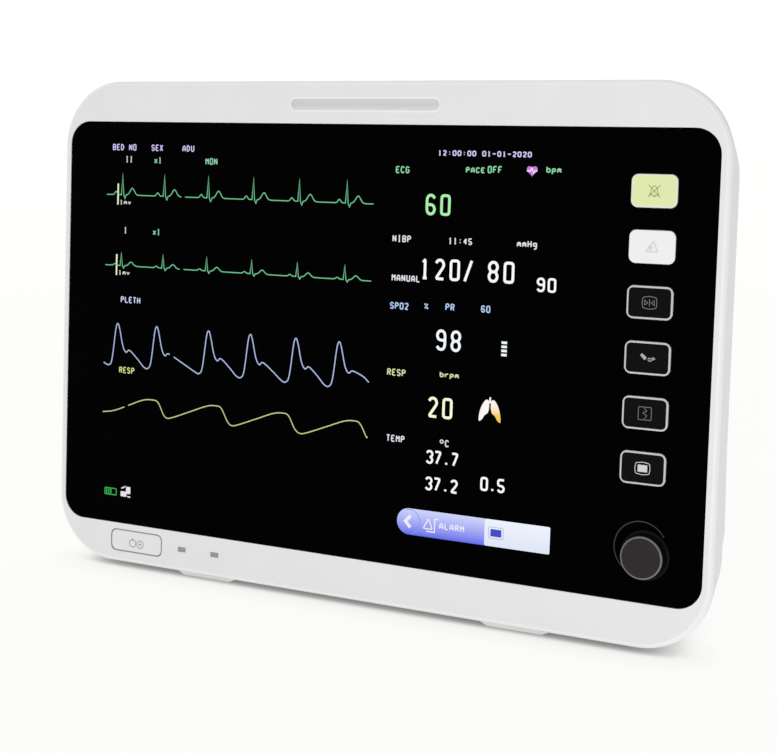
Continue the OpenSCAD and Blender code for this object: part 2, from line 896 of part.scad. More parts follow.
module ac_inlet() {
    y1 = back(pod_back) - 0.6;
    color(plastic_black) difference() {
        union() {
            span_box([-88.8, y1 - 22, port_z - 9.8], [-61.2, y1, port_z + 9.8]);
            span_box([-93, y1 - 5, port_z - 13], [-57, y1 - 2.2, port_z + 13]);
        }
        difference() {
            span_box([-87, y1 - 15, port_z - 8], [-63, y1 + 1, port_z + 8]);
            span_box([-83, y1 - 16, port_z - 4.5], [-67, y1 - 3, port_z + 4.5]);
        }
        for (i = [-1, 0, 1]) {
            span_box([-76 + i * 4.5, y1 - 12, port_z - 1], [-74 + i * 4.5, y1, port_z + 3]);
        }
    }
}

module ground_stud() {
    cup_floor = back(pod_back) - stud_cup_depth;
    color(brass_yellow) {
        peg(stud_x, port_z, stud_r, cup_floor, back(pod_back) - 0.5);
        peg(stud_x, port_z, stud_r + 0.5, cup_floor - 9, cup_floor);
        translate([stud_x, cup_floor - 2, port_z]) rotate([90, 0, 0]) cylinder(h = 2.5, r = 6, $fn = 6);
    }
}

// Metal-shelled socket with a rectangular mouth, let into the rear wall from inside
module rear_socket(x0, x1, h, mouth_w, mouth_h, depth) {
    y1 = back(pod_back) - 0.4;
    mid = (x0 + x1) / 2;
    difference() {
        union() {
            span_box([x0 + 0.2, y1 - depth, port_z - h / 2 + 0.2], [x1 - 0.2, y1, port_z + h / 2 - 0.2]);
            span_box([x0 - 2, y1 - 4.6, port_z - h / 2 - 2], [x1 + 2, y1 - 2.2, port_z + h / 2 + 2]);
        }
        span_box(
            [mid - mouth_w / 2, y1 - depth + 3, port_z - mouth_h / 2],
            [mid + mouth_w / 2, y1 + 1, port_z + mouth_h / 2]
        );
    }
}

module network_jack() { color(steel_grey) rear_socket(12, 28, 14, 11.7, 8, 18); }

module usb_jacks() {
    y1 = back(pod_back) - 0.4;
    color(steel_grey) difference() {
        rear_socket(41, 56, 16, 1, 1, 14);
        for (z = [-3.8, 3.8]) {
            span_box([42.3, y1 - 11, port_z + z - 2.6], [54.7, y1 + 1, port_z + z + 2.6]);
        }
    }
}

module video_jack() { color(steel_grey) rear_socket(68, 100, 12, 17, 8, 10); }

// ---- Handle and feet ----

module carry_handle() {
    y0 = back(handle_y);
    y1 = y0 + handle_reach;
    half = handle_span / 2;
    color(shell_white) difference() {
        union() {
            for (s = [-1, 1]) translate([s * half, 0, 0]) {
                cross_bar(-arm_t / 2, arm_t / 2, y0, handle_z, 7.5);
                span_box([-arm_t / 2, y0, handle_z - 6], [arm_t / 2, y1, handle_z + 6]);
            }
            cross_bar(-half, half, y1, handle_z, grip_d / 2);
            for (s = [-1, 1]) translate([s * half, y1, handle_z]) sphere(grip_d / 2);
        }
        cross_bar(-half - 10, half + 10, y0, handle_z, handle_pin_r + running_gap);
    }
}

module handle_pins() {
    x_in = (handle_span - arm_t) / 2;
    x_out = (handle_span + arm_t) / 2 + 0.4 + lug_t;
    color(steel_grey) for (s = [0, 1]) mirror([s, 0, 0]) {
        cross_bar(x_in - 1, x_out, back(handle_y), handle_z, handle_pin_r);
    }
}

// Low front pads with sloped ends, cut to meet the leaning underside of the bezel
module front_feet() {
    y_in = panel_y - bezel_h / 2 * sin(lean);
    color("#bfc1bd") difference() {
        for (x = [-81, 81]) translate([x, 0, 0]) plate(y_in + 3.5, 9.5) {
            polygon([[-13, 0], [13, 0], [19, foot_gap + 1.5], [-19, foot_gap + 1.5]]);
        }
        front_frame() span_box([-200, -50, -bezel_h / 2], [200, 50, 200]);
    }
}

module rear_feet() {
    color(rubber_grey) for (x = [-108, 108]) translate([x, back(106), 0]) {
        cylinder(h = pod_low, r = 10);
    }
}

front_bezel();
front_panel();
panel_gasket();
alarm_silence_key();
alarm_pause_key();
freeze_key();
nibp_key();
record_key();
menu_key();
key_mat();
key_board();
encoder_body();
encoder_nut();
encoder_plunger();
encoder_shaft();
selector_knob();
power_button();
led_windows();
power_board();
alarm_lens();
alarm_board();
display_module();
display_bracket();
bracket_screws();
display_cable();
rear_housing();
housing_screws();
chassis_plate();
main_board();
parameter_board();
power_supply();
battery_pack();
battery_door();
door_pins();
nibp_pump();
nibp_valves();
air_tube();
speaker();
connector_panel();
ecg_socket();
spo2_socket();
nibp_fitting();
temp_jacks();
recorder_frame();
recorder_door();
platen_roller();
paper_roll();
paper_spindle();
print_head();
ac_inlet();
ground_stud();
network_jack();
usb_jacks();
video_jack();
mount_inserts();
carry_handle();
handle_pins();
front_feet();
rear_feet();
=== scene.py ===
"""A bedside patient monitor: its looks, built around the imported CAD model."""

import json
import math

import bmesh
import bpy
from mathutils import Matrix, Vector


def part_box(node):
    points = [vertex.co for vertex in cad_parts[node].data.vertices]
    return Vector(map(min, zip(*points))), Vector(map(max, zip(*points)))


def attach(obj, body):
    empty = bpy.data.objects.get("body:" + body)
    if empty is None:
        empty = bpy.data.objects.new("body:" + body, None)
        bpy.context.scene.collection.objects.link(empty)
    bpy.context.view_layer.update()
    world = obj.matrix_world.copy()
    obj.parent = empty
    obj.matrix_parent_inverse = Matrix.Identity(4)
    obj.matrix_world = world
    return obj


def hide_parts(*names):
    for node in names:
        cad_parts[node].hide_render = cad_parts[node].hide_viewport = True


MM = 0.001
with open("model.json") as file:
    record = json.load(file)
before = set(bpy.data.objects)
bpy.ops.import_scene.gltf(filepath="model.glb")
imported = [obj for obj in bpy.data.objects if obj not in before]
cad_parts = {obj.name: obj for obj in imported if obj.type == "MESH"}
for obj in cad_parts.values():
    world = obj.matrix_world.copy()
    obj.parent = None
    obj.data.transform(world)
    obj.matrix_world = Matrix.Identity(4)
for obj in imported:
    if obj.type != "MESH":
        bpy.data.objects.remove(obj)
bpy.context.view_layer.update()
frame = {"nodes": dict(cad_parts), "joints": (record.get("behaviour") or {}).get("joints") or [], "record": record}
NODES = frame["nodes"]


# ---- The leaning front: x to the right, y into the panel, z up the panel ----


def joint(name):
    return next(j for j in frame["joints"] if j["name"] == name)


def front_matrix():
    """From the front's own axes, centred on the black panel, to the object's."""
    into = Vector(joint("menu_key_press")["axis"]).normalized()
    across = Vector((1, 0, 0))
    low, high = (Vector(corner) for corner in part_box("front_panel"))
    turn = Matrix((across, into, across.cross(into))).transposed().to_4x4()
    return Matrix.Translation((low + high) / 2) @ turn


def side_matrix(across, into):
    """A side seen square on: x to its right, y into the object, z up."""
    across, into = Vector(across), Vector(into)
    return Matrix((across, into, across.cross(into))).transposed().to_4x4()


FRONT = front_matrix()
UPRIGHT = Matrix.Identity(4)
RIGHT_SIDE = side_matrix((0, 1, 0), (-1, 0, 0))
LEFT_SIDE = side_matrix((0, -1, 0), (1, 0, 0))
BACK = side_matrix((-1, 0, 0), (0, -1, 0))


def box_of(node, space=FRONT):
    """Lowest and highest corners of a CAD node along the axes of a space, in millimetres."""
    inverse = space.inverted()
    points = [(inverse @ v.co) / MM for v in NODES[node].data.vertices]
    low = Vector([min(p[i] for p in points) for i in range(3)])
    high = Vector([max(p[i] for p in points) for i in range(3)])
    return low, high


def middle_of(node, space=FRONT):
    """A CAD node's middle across and up a space."""
    low, high = box_of(node, space)
    return (low.x + high.x) / 2, (low.z + high.z) / 2


PANEL_FACE = box_of("front_panel")[0].y
BEZEL_FACE = box_of("front_bezel")[0].y
KEY_FACE = box_of("menu_key")[0].y


# ---- Materials ----


# The range that most of a noise's values fall in
NOISE_SPAN = (0.3, 0.7)


def new_material(name):
    material = bpy.data.materials.new(name)
    material.use_nodes = True
    nodes = material.node_tree.nodes
    return material, nodes, nodes["Principled BSDF"]


def wire(source, output, target, socket):
    source.id_data.links.new(source.outputs[output], target.inputs[socket])


def noise_node(nodes, scale, detail=4.0, stretch=(1, 1, 1)):
    """Noise over the object's own metres, stretched along its axes."""
    place = nodes.new("ShaderNodeTexCoord")
    mapping = nodes.new("ShaderNodeMapping")
    mapping.inputs["Scale"].default_value = stretch
    noise = nodes.new("ShaderNodeTexNoise")
    noise.inputs["Scale"].default_value = scale
    noise.inputs["Detail"].default_value = detail
    wire(place, "Object", mapping, "Vector")
    wire(mapping, "Vector", noise, "Vector")
    return noise


def map_range(nodes, source, target=(0, 1)):
    """A node that stretches one range of numbers onto another."""
    node = nodes.new("ShaderNodeMapRange")
    for end, start, finish in zip(("Min", "Max"), source, target):
        node.inputs["From " + end].default_value = start
        node.inputs["To " + end].default_value = finish
    return node


def color_ramp(nodes, first, last, *between):
    """A colour ramp from stops of (place, colour): its two ends, then any stops between them."""
    node = nodes.new("ShaderNodeValToRGB")
    for element, (place, color) in zip(node.color_ramp.elements, (first, last)):
        element.position = place
        element.color = color
    for place, color in between:
        node.color_ramp.elements.new(place).color = color
    return node


def shades(nodes, color, spread, span):
    """A ramp between a darker and a lighter shade of a colour, over a span of its input."""
    dark, light = (tuple(min(c * f, 1.0) for c in color[:3]) + (1.0,) for f in (1 - spread, 1 + spread))
    return color_ramp(nodes, (span[0], dark), (span[1], light))


def surface(
    name, color, rough=0.45, metal=0.0, shine=0.5, tone=0.04, grain=1500, relief=0.02, stretch=(1, 1, 1)
):
    """A moulded or metal surface: slight colour drift, uneven roughness and a fine relief in millimetres."""
    material, nodes, shader = new_material(name)
    drift = noise_node(nodes, 45, 3.0)
    ramp = shades(nodes, color, tone, NOISE_SPAN)
    wire(drift, "Fac", ramp, "Fac")
    wire(ramp, "Color", shader, "Base Color")
    fine = noise_node(nodes, grain, 2.0, stretch)
    uneven = map_range(nodes, NOISE_SPAN, (rough - 0.05, rough + 0.05))
    wire(fine, "Fac", uneven, "Value")
    wire(uneven, "Result", shader, "Roughness")
    bump = nodes.new("ShaderNodeBump")
    bump.inputs["Strength"].default_value = 0.5
    bump.inputs["Distance"].default_value = relief * MM
    wire(fine, "Fac", bump, "Height")
    wire(bump, "Normal", shader, "Normal")
    shader.inputs["Metallic"].default_value = metal
    shader.inputs["Specular IOR Level"].default_value = shine
    return material


def linear(red, green, blue):
    """Linear colour from one as it shows on a screen, 0 to 255."""
    def channel(value):
        value = value / 255
        return value / 12.92 if value <= 0.04045 else ((value + 0.055) / 1.055) ** 2.4

    return channel(red), channel(green), channel(blue), 1.0


def glow(name, shown):
    """Lit picture elements behind the panel, a little uneven."""
    material, nodes, shader = new_material(name)
    uneven = noise_node(nodes, 600, 1.0)
    ramp = shades(nodes, linear(*shown), 0.06, (0, 1))
    wire(uneven, "Fac", ramp, "Fac")
    wire(ramp, "Color", shader, "Emission Color")
    shader.inputs["Emission Strength"].default_value = 1.0
    shader.inputs["Base Color"].default_value = (0.0, 0.0, 0.0, 1.0)
    shader.inputs["Roughness"].default_value = 0.4
    shader.inputs["Specular IOR Level"].default_value = 0.03
    return material


def shade_by_height(material, socket, top, bottom, z_top, z_bottom):
    """Gives the shader a colour that changes up the panel, between two heights in millimetres."""
    nodes = material.node_tree.nodes
    place = nodes.new("ShaderNodeTexCoord")
    split = nodes.new("ShaderNodeSeparateXYZ")
    low = FRONT @ (Vector((0, PANEL_FACE, z_bottom)) * MM)
    high = FRONT @ (Vector((0, PANEL_FACE, z_top)) * MM)
    height = map_range(nodes, (low.z, high.z))
    ramp = color_ramp(nodes, (0, bottom), (1, top))
    wire(place, "Object", split, "Vector")
    wire(split, "Z", height, "Value")
    wire(height, "Result", ramp, "Fac")
    wire(ramp, "Color", nodes["Principled BSDF"], socket)


def glow_gradient(name, top, bottom, z_top, z_bottom):
    """Lit area that changes colour up the panel."""
    material = glow(name, top)
    shade_by_height(material, "Emission Color", linear(*top), linear(*bottom), z_top, z_bottom)
    return material


def lamp_material():
    """Milky lens, with painted shade: darker along its upper half."""
    material = surface("lamp", (0.66, 0.665, 0.65), rough=0.35, tone=0.02, grain=900, relief=0.004)
    low, high = box_of("alarm_lens")
    middle = (low.z + high.z) / 2
    # Painted shade: the lens darkens above its middle; the lighter colour below is its unshaded one.
    shaded_top, clear = (0.645, 0.65, 0.635, 1), (0.78, 0.78, 0.77, 1)
    shade_by_height(material, "Base Color", shaded_top, clear, middle, middle - 2.4)
    return material


def ink(name, *shown, tone=0.03):
    """Print in a colour as it shows on a screen."""
    return surface(name, linear(*shown), rough=0.5, shine=0.3, tone=tone, relief=0.004)


def key_plastic(name, color, tone=0.01):
    return surface(name, color, rough=0.4, shine=0.35, tone=tone, relief=0.01)


SHELL = surface("shell", (0.80, 0.80, 0.79), rough=0.42, shine=0.4, tone=0.012, grain=2600, relief=0.012)
PANEL = surface("panel", (0.0002, 0.0002, 0.0003), rough=0.25, shine=0.008, tone=0.3, grain=300, relief=0.001)
KEY_LIME = key_plastic("key_lime", linear(224, 234, 172), tone=0.015)
KEY_LIME_EDGE = key_plastic("key_lime_edge", linear(228, 231, 212))
KEY_WHITE = key_plastic("key_white", (0.86, 0.86, 0.86))
KEY_DARK = surface("key_dark", linear(8, 6, 7), rough=0.45, shine=0.06, tone=0.06, relief=0.01)
PRINT_PALE = ink("print_pale", 176, 174, 176)
PRINT_BRIGHT = ink("print_bright", 212, 210, 212)
PRINT_OLIVE = ink("print_olive", 140, 146, 104, tone=0.05)
PRINT_GREY = ink("print_grey", 196, 196, 194)
PRINT_DARK = ink("print_dark", 150, 150, 147)
PRINT_FAINT = ink("print_faint", 120, 117, 119)
KNOB = surface("knob", linear(44, 37, 39), rough=0.45, shine=0.12, tone=0.05, grain=1800, relief=0.01)
# A lighter copy of the knob's colour for its bevelled rim: painted highlight.
KNOB_RIM_HIGHLIGHT = surface(
    "knob_rim_painted_highlight", linear(104, 102, 106), rough=0.3, shine=0.5, tone=0.05, grain=1800, relief=0.004
)
KNOB_SKIRT = surface(
    "knob_skirt", linear(14, 13, 16), rough=0.3, shine=0.06, tone=0.1, grain=1800, relief=0.004
)
LAMP = lamp_material()
# A lighter copy of the shell: painted highlight on the bezel's front rounding and on the lamp's rim.
SHELL_HIGHLIGHT = surface("shell_painted_highlight", (0.87, 0.87, 0.865), rough=0.4, shine=0.4, tone=0.01, relief=0.006)
# Grey drawn in the gap round the power button: painted shade.
GAP_SHADE = surface("painted_gap_shade", linear(138, 138, 136), rough=0.6, shine=0.2, tone=0.03, relief=0.006)
KEY_RIM = surface("key_rim", linear(200, 198, 200), rough=0.4, shine=0.3, tone=0.02, relief=0.006)
# A grey for the ridge along the upper arc round the knob: painted highlight on the recess edge.
KNOB_ARC_HIGHLIGHT = surface("knob_arc_painted_highlight", linear(62, 61, 67), rough=0.35, shine=0.2, tone=0.06, relief=0.004)
LED = surface("led_window", linear(150, 150, 147), rough=0.25, shine=0.5, tone=0.03, grain=900, relief=0.002)
RUBBER = surface("rubber", (0.20, 0.205, 0.20), rough=0.75, shine=0.25, tone=0.06, grain=1200, relief=0.03)
PAD = surface("pad", (0.84, 0.845, 0.83), rough=0.6, shine=0.3, tone=0.04, grain=1200, relief=0.02)
BOARD = surface("board", (0.02, 0.12, 0.055), rough=0.35, shine=0.5, tone=0.25, grain=700, relief=0.02)
STEEL = surface(
    "steel", (0.55, 0.56, 0.57), rough=0.34, metal=1.0, tone=0.06, grain=900, relief=0.01, stretch=(1, 12, 12)
)
BLACK = surface("black_plastic", (0.02, 0.02, 0.022), rough=0.5, shine=0.4, tone=0.1, relief=0.015)
GREY = surface("grey_plastic", (0.45, 0.46, 0.45), rough=0.5, shine=0.4, tone=0.03, relief=0.015)
GREEN = surface("socket_green", (0.05, 0.27, 0.11), rough=0.42, shine=0.4, tone=0.04, relief=0.01)
BLUE = surface("socket_blue", (0.04, 0.14, 0.40), rough=0.42, shine=0.4, tone=0.04, relief=0.01)
WRAP = surface("cell_wrap", (0.04, 0.045, 0.05), rough=0.25, shine=0.5, tone=0.08, relief=0.01)
TUBE = surface("tube", (0.55, 0.58, 0.58), rough=0.4, shine=0.4, tone=0.05, relief=0.01)
BRASS = surface("brass", (0.62, 0.44, 0.17), rough=0.3, metal=1.0, tone=0.06, grain=900, relief=0.008)
PAPER = surface("paper", (0.86, 0.85, 0.80), rough=0.8, shine=0.2, tone=0.02, grain=3000, relief=0.02)

SLOT_MATERIALS = {
    "shell": SHELL, "panel": PANEL, "key_lime": KEY_LIME, "key_white": KEY_WHITE, "key_dark": KEY_DARK,
    "knob": KNOB, "lamp": LAMP, "rubber": RUBBER, "pad": PAD, "board": BOARD, "steel": STEEL,
    "black_plastic": BLACK, "grey_plastic": GREY, "socket_green": GREEN, "socket_blue": BLUE,
    "cell_wrap": WRAP, "tube": TUBE, "brass": BRASS, "paper": PAPER,
}
NODE_SLOTS = {part["node"]: part["material_slot"] for part in frame["record"]["subparts"]}
NODE_BODIES = {
    node: body for body, members in frame["record"]["behaviour"]["bodies"].items() for node in members
}


def dress_nodes():
    """Every CAD node gets its slot's material."""
    for name, node in NODES.items():
        node.data.materials.clear()
        node.data.materials.append(LED if name == "led_windows" else SLOT_MATERIALS[NODE_SLOTS[name]])


# ---- Mesh helpers ----


def add_object(name, data):
    item = bpy.data.objects.new(name, data)
    bpy.context.scene.collection.objects.link(item)
    return item


def smooth_by_angle(mesh, degrees=32):
    for polygon in mesh.polygons:
        polygon.use_smooth = True
    mesh.set_sharp_from_angle(angle=math.radians(degrees))


def even_shading(piece):
    """Keeps large flat faces flat beside rounded edges, by weighting normals with face area."""
    weigh = piece.modifiers.new("weigh", "WEIGHTED_NORMAL")
    weigh.keep_sharp = True
    weigh.weight = 100
    rough = piece.data
    ready = piece.evaluated_get(bpy.context.evaluated_depsgraph_get())
    piece.data = bpy.data.meshes.new_from_object(ready)
    piece.modifiers.clear()
    bpy.data.meshes.remove(rough)


def piece_from(bm, name, material, body, smooth=32, even=False):
    """A finished piece from mesh data already in the object's metres."""
    bmesh.ops.recalc_face_normals(bm, faces=bm.faces)
    mesh = bpy.data.meshes.new(name)
    bm.to_mesh(mesh)
    bm.free()
    mesh.materials.append(material)
    smooth_by_angle(mesh, smooth)
    piece = add_object(name, mesh)
    if even:
        even_shading(piece)
    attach(piece, body)
    return piece


def clean_copy(node):
    """The node's own surface with its triangles merged back into flat faces."""
    bm = bmesh.new()
    bm.from_mesh(NODES[node].data)
    bmesh.ops.remove_doubles(bm, verts=bm.verts, dist=0.002 * MM)
    bmesh.ops.dissolve_limit(
        bm, angle_limit=math.radians(0.5), verts=bm.verts, edges=bm.edges, delimit={"NORMAL"}
    )
    return bm


def sharp_edges(bm, degrees=35):
    limit = math.radians(degrees)
    return [e for e in bm.edges if len(e.link_faces) == 2 and e.calc_face_angle() > limit]


def bevel(bm, edges, width, segments):
    bmesh.ops.bevel(
        bm, geom=edges, offset=width * MM, offset_type="OFFSET", segments=segments,
        profile=0.5, affect="EDGES", clamp_overlap=True,
    )


def stand_in(node, bm, material=None, smooth=38):
    """A piece from reworked mesh data that takes a CAD node's place, body and slot."""
    slot = NODE_SLOTS[node]
    material = material or SLOT_MATERIALS[slot]
    piece = piece_from(bm, node + "_shaped", material, NODE_BODIES[node], smooth, even=True)
    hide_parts(node)
    return piece


def soften(node, width, segments=2, degrees=35, material=None):
    """Stands in for a CAD node, the same shape with its sharp edges rounded over."""
    bm = clean_copy(node)
    bevel(bm, sharp_edges(bm, degrees), width, segments)
    return stand_in(node, bm, material)


def join_rings(bm, first, second):
    """Faces between two closed rows of points."""
    for i in range(len(first)):
        k = (i + 1) % len(first)
        bm.faces.new([first[i], first[k], second[k], second[i]])


def lathe(profile, turns=96):
    """Faces swept round the depth axis by a profile of (radius, depth) points, closed at radius 0."""
    bm = bmesh.new()
    rings = []
    for radius, depth in profile:
        if radius == 0:
            rings.append([bm.verts.new((0, depth, 0))])
            continue
        angles = [2 * math.pi * i / turns for i in range(turns)]
        rings.append([bm.verts.new((radius * math.cos(a), depth, radius * math.sin(a))) for a in angles])
    for ring, following in zip(rings, rings[1:]):
        for i in range(turns):
            corners = [ring[i % len(ring)], ring[(i + 1) % len(ring)]]
            corners += [following[(i + 1) % len(following)], following[i % len(following)]]
            bm.faces.new(list(dict.fromkeys(corners)))
    return bm


def move_to(space, bm, x=0, z=0):
    """Takes mesh data from millimetres about a point of a space to the object's metres."""
    place = space @ Matrix.Scale(MM, 4) @ Matrix.Translation((x, 0, z))
    bmesh.ops.transform(bm, matrix=place, verts=bm.verts)
    return bm


# ---- Flat drawing in millimetres on the panel: x to the right, z up ----


def path_normals(points, closed):
    """The sideways step, one unit wide, at each point of a path, mitred at its bends."""
    steps = []
    count = len(points)
    for i, point in enumerate(points):
        before = points[i - 1] if closed or i else None
        after = points[(i + 1) % count] if closed or i < count - 1 else None
        arriving = (point - before).normalized() if before is not None else (after - point).normalized()
        leaving = (after - point).normalized() if after is not None else arriving
        along = arriving + leaving
        along = along.normalized() if along.length > 0.01 else arriving
        steps.append(Vector((-along.y, along.x)) / max(along.dot(arriving), 0.5))
    return steps


def line(points, width, closed=False):
    points = [Vector(p) for p in points]
    steps = path_normals(points, closed)
    left = [p + s * width / 2 for p, s in zip(points, steps)]
    right = [p - s * width / 2 for p, s in zip(points, steps)]
    return {"left": left, "right": right, "closed": closed}


def loop(points, width):
    return line(points, width, closed=True)


def fill(outline):
    return {"outline": [Vector(p) for p in outline]}


def rounded(points, radius, closed=False, steps=3):
    """The path with each bend replaced by a short curve."""
    points = [Vector(p) for p in points]
    count = len(points)
    out = []
    for i, point in enumerate(points):
        if not closed and i in (0, count - 1):
            out.append(point)
            continue
        before, after = points[i - 1], points[(i + 1) % count]
        cut_in = min(radius, (point - before).length / 2)
        cut_out = min(radius, (after - point).length / 2)
        start = point + (before - point).normalized() * cut_in
        end = point + (after - point).normalized() * cut_out
        for k in range(steps + 1):
            t = k / steps
            out.append(start * (1 - t) ** 2 + point * 2 * t * (1 - t) + end * t * t)
    tidy = [p for i, p in enumerate(out) if i == 0 or (p - out[i - 1]).length > 1e-4]
    if closed and (tidy[0] - tidy[-1]).length < 1e-4:
        tidy.pop()
    return tidy


def rounded_box(x, z, width, height, radius, steps=4):
    w, h = width / 2, height / 2
    corners = [(x - w, z - h), (x + w, z - h), (x + w, z + h), (x - w, z + h)]
    return rounded(corners, radius, closed=True, steps=steps)


def arc(x, z, radius, start=0, end=360, steps=20):
    angles = [math.radians(start + (end - start) * i / steps) for i in range(steps + 1)]
    return [Vector((x + radius * math.cos(a), z + radius * math.sin(a))) for a in angles]


def disc(x, z, radius, steps=20):
    return fill(arc(x, z, radius, 0, 360, steps)[:-1])


def ring(x, z, radius, width, steps=24):
    return loop(arc(x, z, radius, 0, 360, steps)[:-1], width)


def add_ribbon(bm, shape, front, back):
    """A flat bar with a rectangular section that follows a line."""
    stations = []
    for left, right in zip(shape["left"], shape["right"]):
        corners = [(left.x, front, left.y), (right.x, front, right.y)]
        corners += [(right.x, back, right.y), (left.x, back, left.y)]
        stations.append([bm.verts.new(c) for c in corners])
    pairs = list(zip(stations, stations[1:]))
    if shape["closed"]:
        pairs.append((stations[-1], stations[0]))
    else:
        bm.faces.new(stations[0])
        bm.faces.new(stations[-1])
    for a, b in pairs:
        join_rings(bm, a, b)


def add_patch(bm, shape, front, back):
    near = [bm.verts.new((p.x, front, p.y)) for p in shape["outline"]]
    far = [bm.verts.new((p.x, back, p.y)) for p in shape["outline"]]
    bm.faces.new(near)
    bm.faces.new(list(reversed(far)))
    join_rings(bm, near, far)


def draw(name, shapes, material, body="housing", face=None, lift=0.03, sink=0.01, space=FRONT):
    """One piece from lines and filled outlines, from lift above a face to sink below it."""
    face = PANEL_FACE if face is None else face
    bm = bmesh.new()
    for shape in shapes:
        add = add_patch if "outline" in shape else add_ribbon
        add(bm, shape, face - lift, face + sink)
    move_to(space, bm)
    return piece_from(bm, name, material, body, smooth=20)


def bead(name, path, width, height, material, body, face, closed=True, steps=6):
    """A low rounded ridge that follows a path on the front."""
    bm = bmesh.new()
    stations = []
    for point, step in zip(path, path_normals(path, closed)):
        angles = [math.pi * i / steps for i in range(steps + 1)]
        spots = [(point + step * math.cos(a) * width / 2, face - math.sin(a) * height) for a in angles]
        stations.append([bm.verts.new((p.x, depth, p.y)) for p, depth in spots])
    following = stations[1:] + stations[:1] if closed else stations[1:]
    for a, b in zip(stations, following):
        join_rings(bm, a, b)
    if not closed:
        bm.faces.new(stations[0])
        bm.faces.new(stations[-1])
    move_to(FRONT, bm)
    return piece_from(bm, name, material, body, smooth=60)


def pill_path(x, z, width, height, steps=14):
    half = (width - height) / 2
    right = arc(x + half, z, height / 2, -90, 90, steps)
    return right + arc(x - half, z, height / 2, 90, 270, steps)


# Each letter is a list of strokes on a grid 4 wide and 8 high. Capitals stand on row 2.
LETTERS = {
    "0": ["02 42 48 08 o"], "1": ["17 28 22", "12 32"], "2": ["07 18 38 47 46 02 42"],
    "3": ["07 18 38 47 46 35 44 43 32 12 03", "25 35"],
    "4": ["32 38 04 44"], "5": ["48 08 05 35 44 43 32 12 03"],
    "6": ["47 38 18 07 03 12 32 43 44 35 05"], "7": ["08 48 12"],
    "8": ["15 06 07 18 38 47 46 35 44 43 32 12 03 04 o", "15 35"],
    "9": ["03 12 32 43 47 38 18 07 06 15 45"],
    "A": ["02 06 28 46 42", "04 44"], "B": ["02 08 38 47 46 35 05", "35 44 43 32 02"],
    "C": ["47 38 18 07 03 12 32 43"], "D": ["02 08 28 46 44 22 o"], "E": ["48 08 02 42", "05 35"],
    "F": ["48 08 02", "05 35"], "G": ["47 38 18 07 03 12 32 43 45 25"], "H": ["02 08", "42 48", "05 45"],
    "I": ["12 32", "22 28", "18 38"], "L": ["08 02 42"], "M": ["02 08 25 48 42"], "N": ["02 08 42 48"],
    "O": ["02 42 48 08 o"], "P": ["02 08 38 47 46 35 05"], "R": ["02 08 38 47 46 35 05", "25 42"],
    "S": ["47 38 18 07 06 15 35 44 43 32 12 03"], "T": ["08 48", "28 22"], "U": ["08 03 12 32 43 48"],
    "X": ["02 48", "08 42"],
    "b": ["08 02 32 43 45 36 06"], "g": ["46 06 03 43", "46 41 30 10"], "m": ["02 06 46 42", "26 23"],
    "p": ["00 06 36 45 44 33 03"], "r": ["02 06", "04 26 46"], "x": ["02 46", "06 42"],
    "v": ["06 22 46"],
    ":": ["23 24", "26 27"], "/": ["02 48"], ".": ["22 23"], "-": ["05 45"],
    "%": ["02 48", "08 18 17 07 o", "32 42 43 33 o"], " ": [],
}


def write(text, x, z, height, width, pitch, stroke):
    """Strokes of a text whose letters start at x and stand on z."""
    shapes = []
    inner_w, inner_h = width - stroke, height - stroke
    foot = z + stroke / 2
    for index, letter in enumerate(text):
        left = x + index * pitch + stroke / 2
        for stroke_text in LETTERS[letter]:
            marks = stroke_text.split()
            closed = marks[-1] == "o"
            marks = marks[:-1] if closed else marks
            cells = [(int(across) / 4, (int(up) - 2) / 6) for across, up in marks]
            points = [(left + across * inner_w, foot + up * inner_h) for across, up in cells]
            path = rounded(points, stroke, closed)
            shapes.append(line(path, stroke, closed))
    return shapes


def small(text, x, z, height=3.2, width=1.95, pitch=2.45):
    return write(text, x, z, height, width, pitch, 0.55)


def large(text, x, z, height=9.6, width=5.0, pitch=7.2):
    return write(text, x, z, height, width, pitch, 1.25)


# ---- The picture on the display ----

TRACE_START = -142.8
TRACE_END = 7
BEAT_PEAKS = [-133.2, -108.2, -82.8, -57.4, -32.4, -7.2]


def lit(name, shapes, shown, lift=0.03):
    """A lit piece of the picture, in a colour as it shows on a screen."""
    draw(name, shapes, glow(name + "_light", shown), lift=lift)


def bell(x, middle, width):
    """A smooth bump, half as high at half a width from its middle."""
    return math.exp(-2.77 * ((x - middle) / width) ** 2)


def heart_trace(baseline, spike, wave, bump):
    """An ECG trace: a small bump, a sharp spike and a larger bump at each beat, on a level line."""
    def height(x):
        z = baseline
        for peak in BEAT_PEAKS:
            z += bump * bell(x, peak - 3.9, 1.6) + wave * bell(x, peak + 5.9, 2.9)
            z += spike * max(0, 1 - abs(x - peak) / 0.7)
            z -= 0.17 * spike * max(0, 1 - abs(x - peak - 1.5) / 0.7)
        return z

    spacing = 0.45
    stops = {TRACE_START + spacing * i for i in range(int((TRACE_END - TRACE_START) / spacing) + 1)}
    for peak in BEAT_PEAKS:
        stops = {x for x in stops if not -1.2 < x - peak < 2.4}
        stops |= {peak + step for step in (-0.7, 0, 0.7, 1.5, 2.2)}
    return [(x, height(x)) for x in sorted(stops)]


def spline(knots, steps=5):
    """A smooth path through all the knots."""
    knots = [Vector(k) for k in knots]
    ends = [knots[0]] + knots + [knots[-1]]
    out = []
    for a, b, c, d in zip(ends, ends[1:], ends[2:], ends[3:]):
        for k in range(steps):
            t = k / steps
            bend = (2 * a - 5 * b + 4 * c - d) * t * t + (3 * b - 3 * c + d - a) * t * t * t
            out.append(b + ((c - a) * t + bend) / 2)
    return out + [knots[-1]]


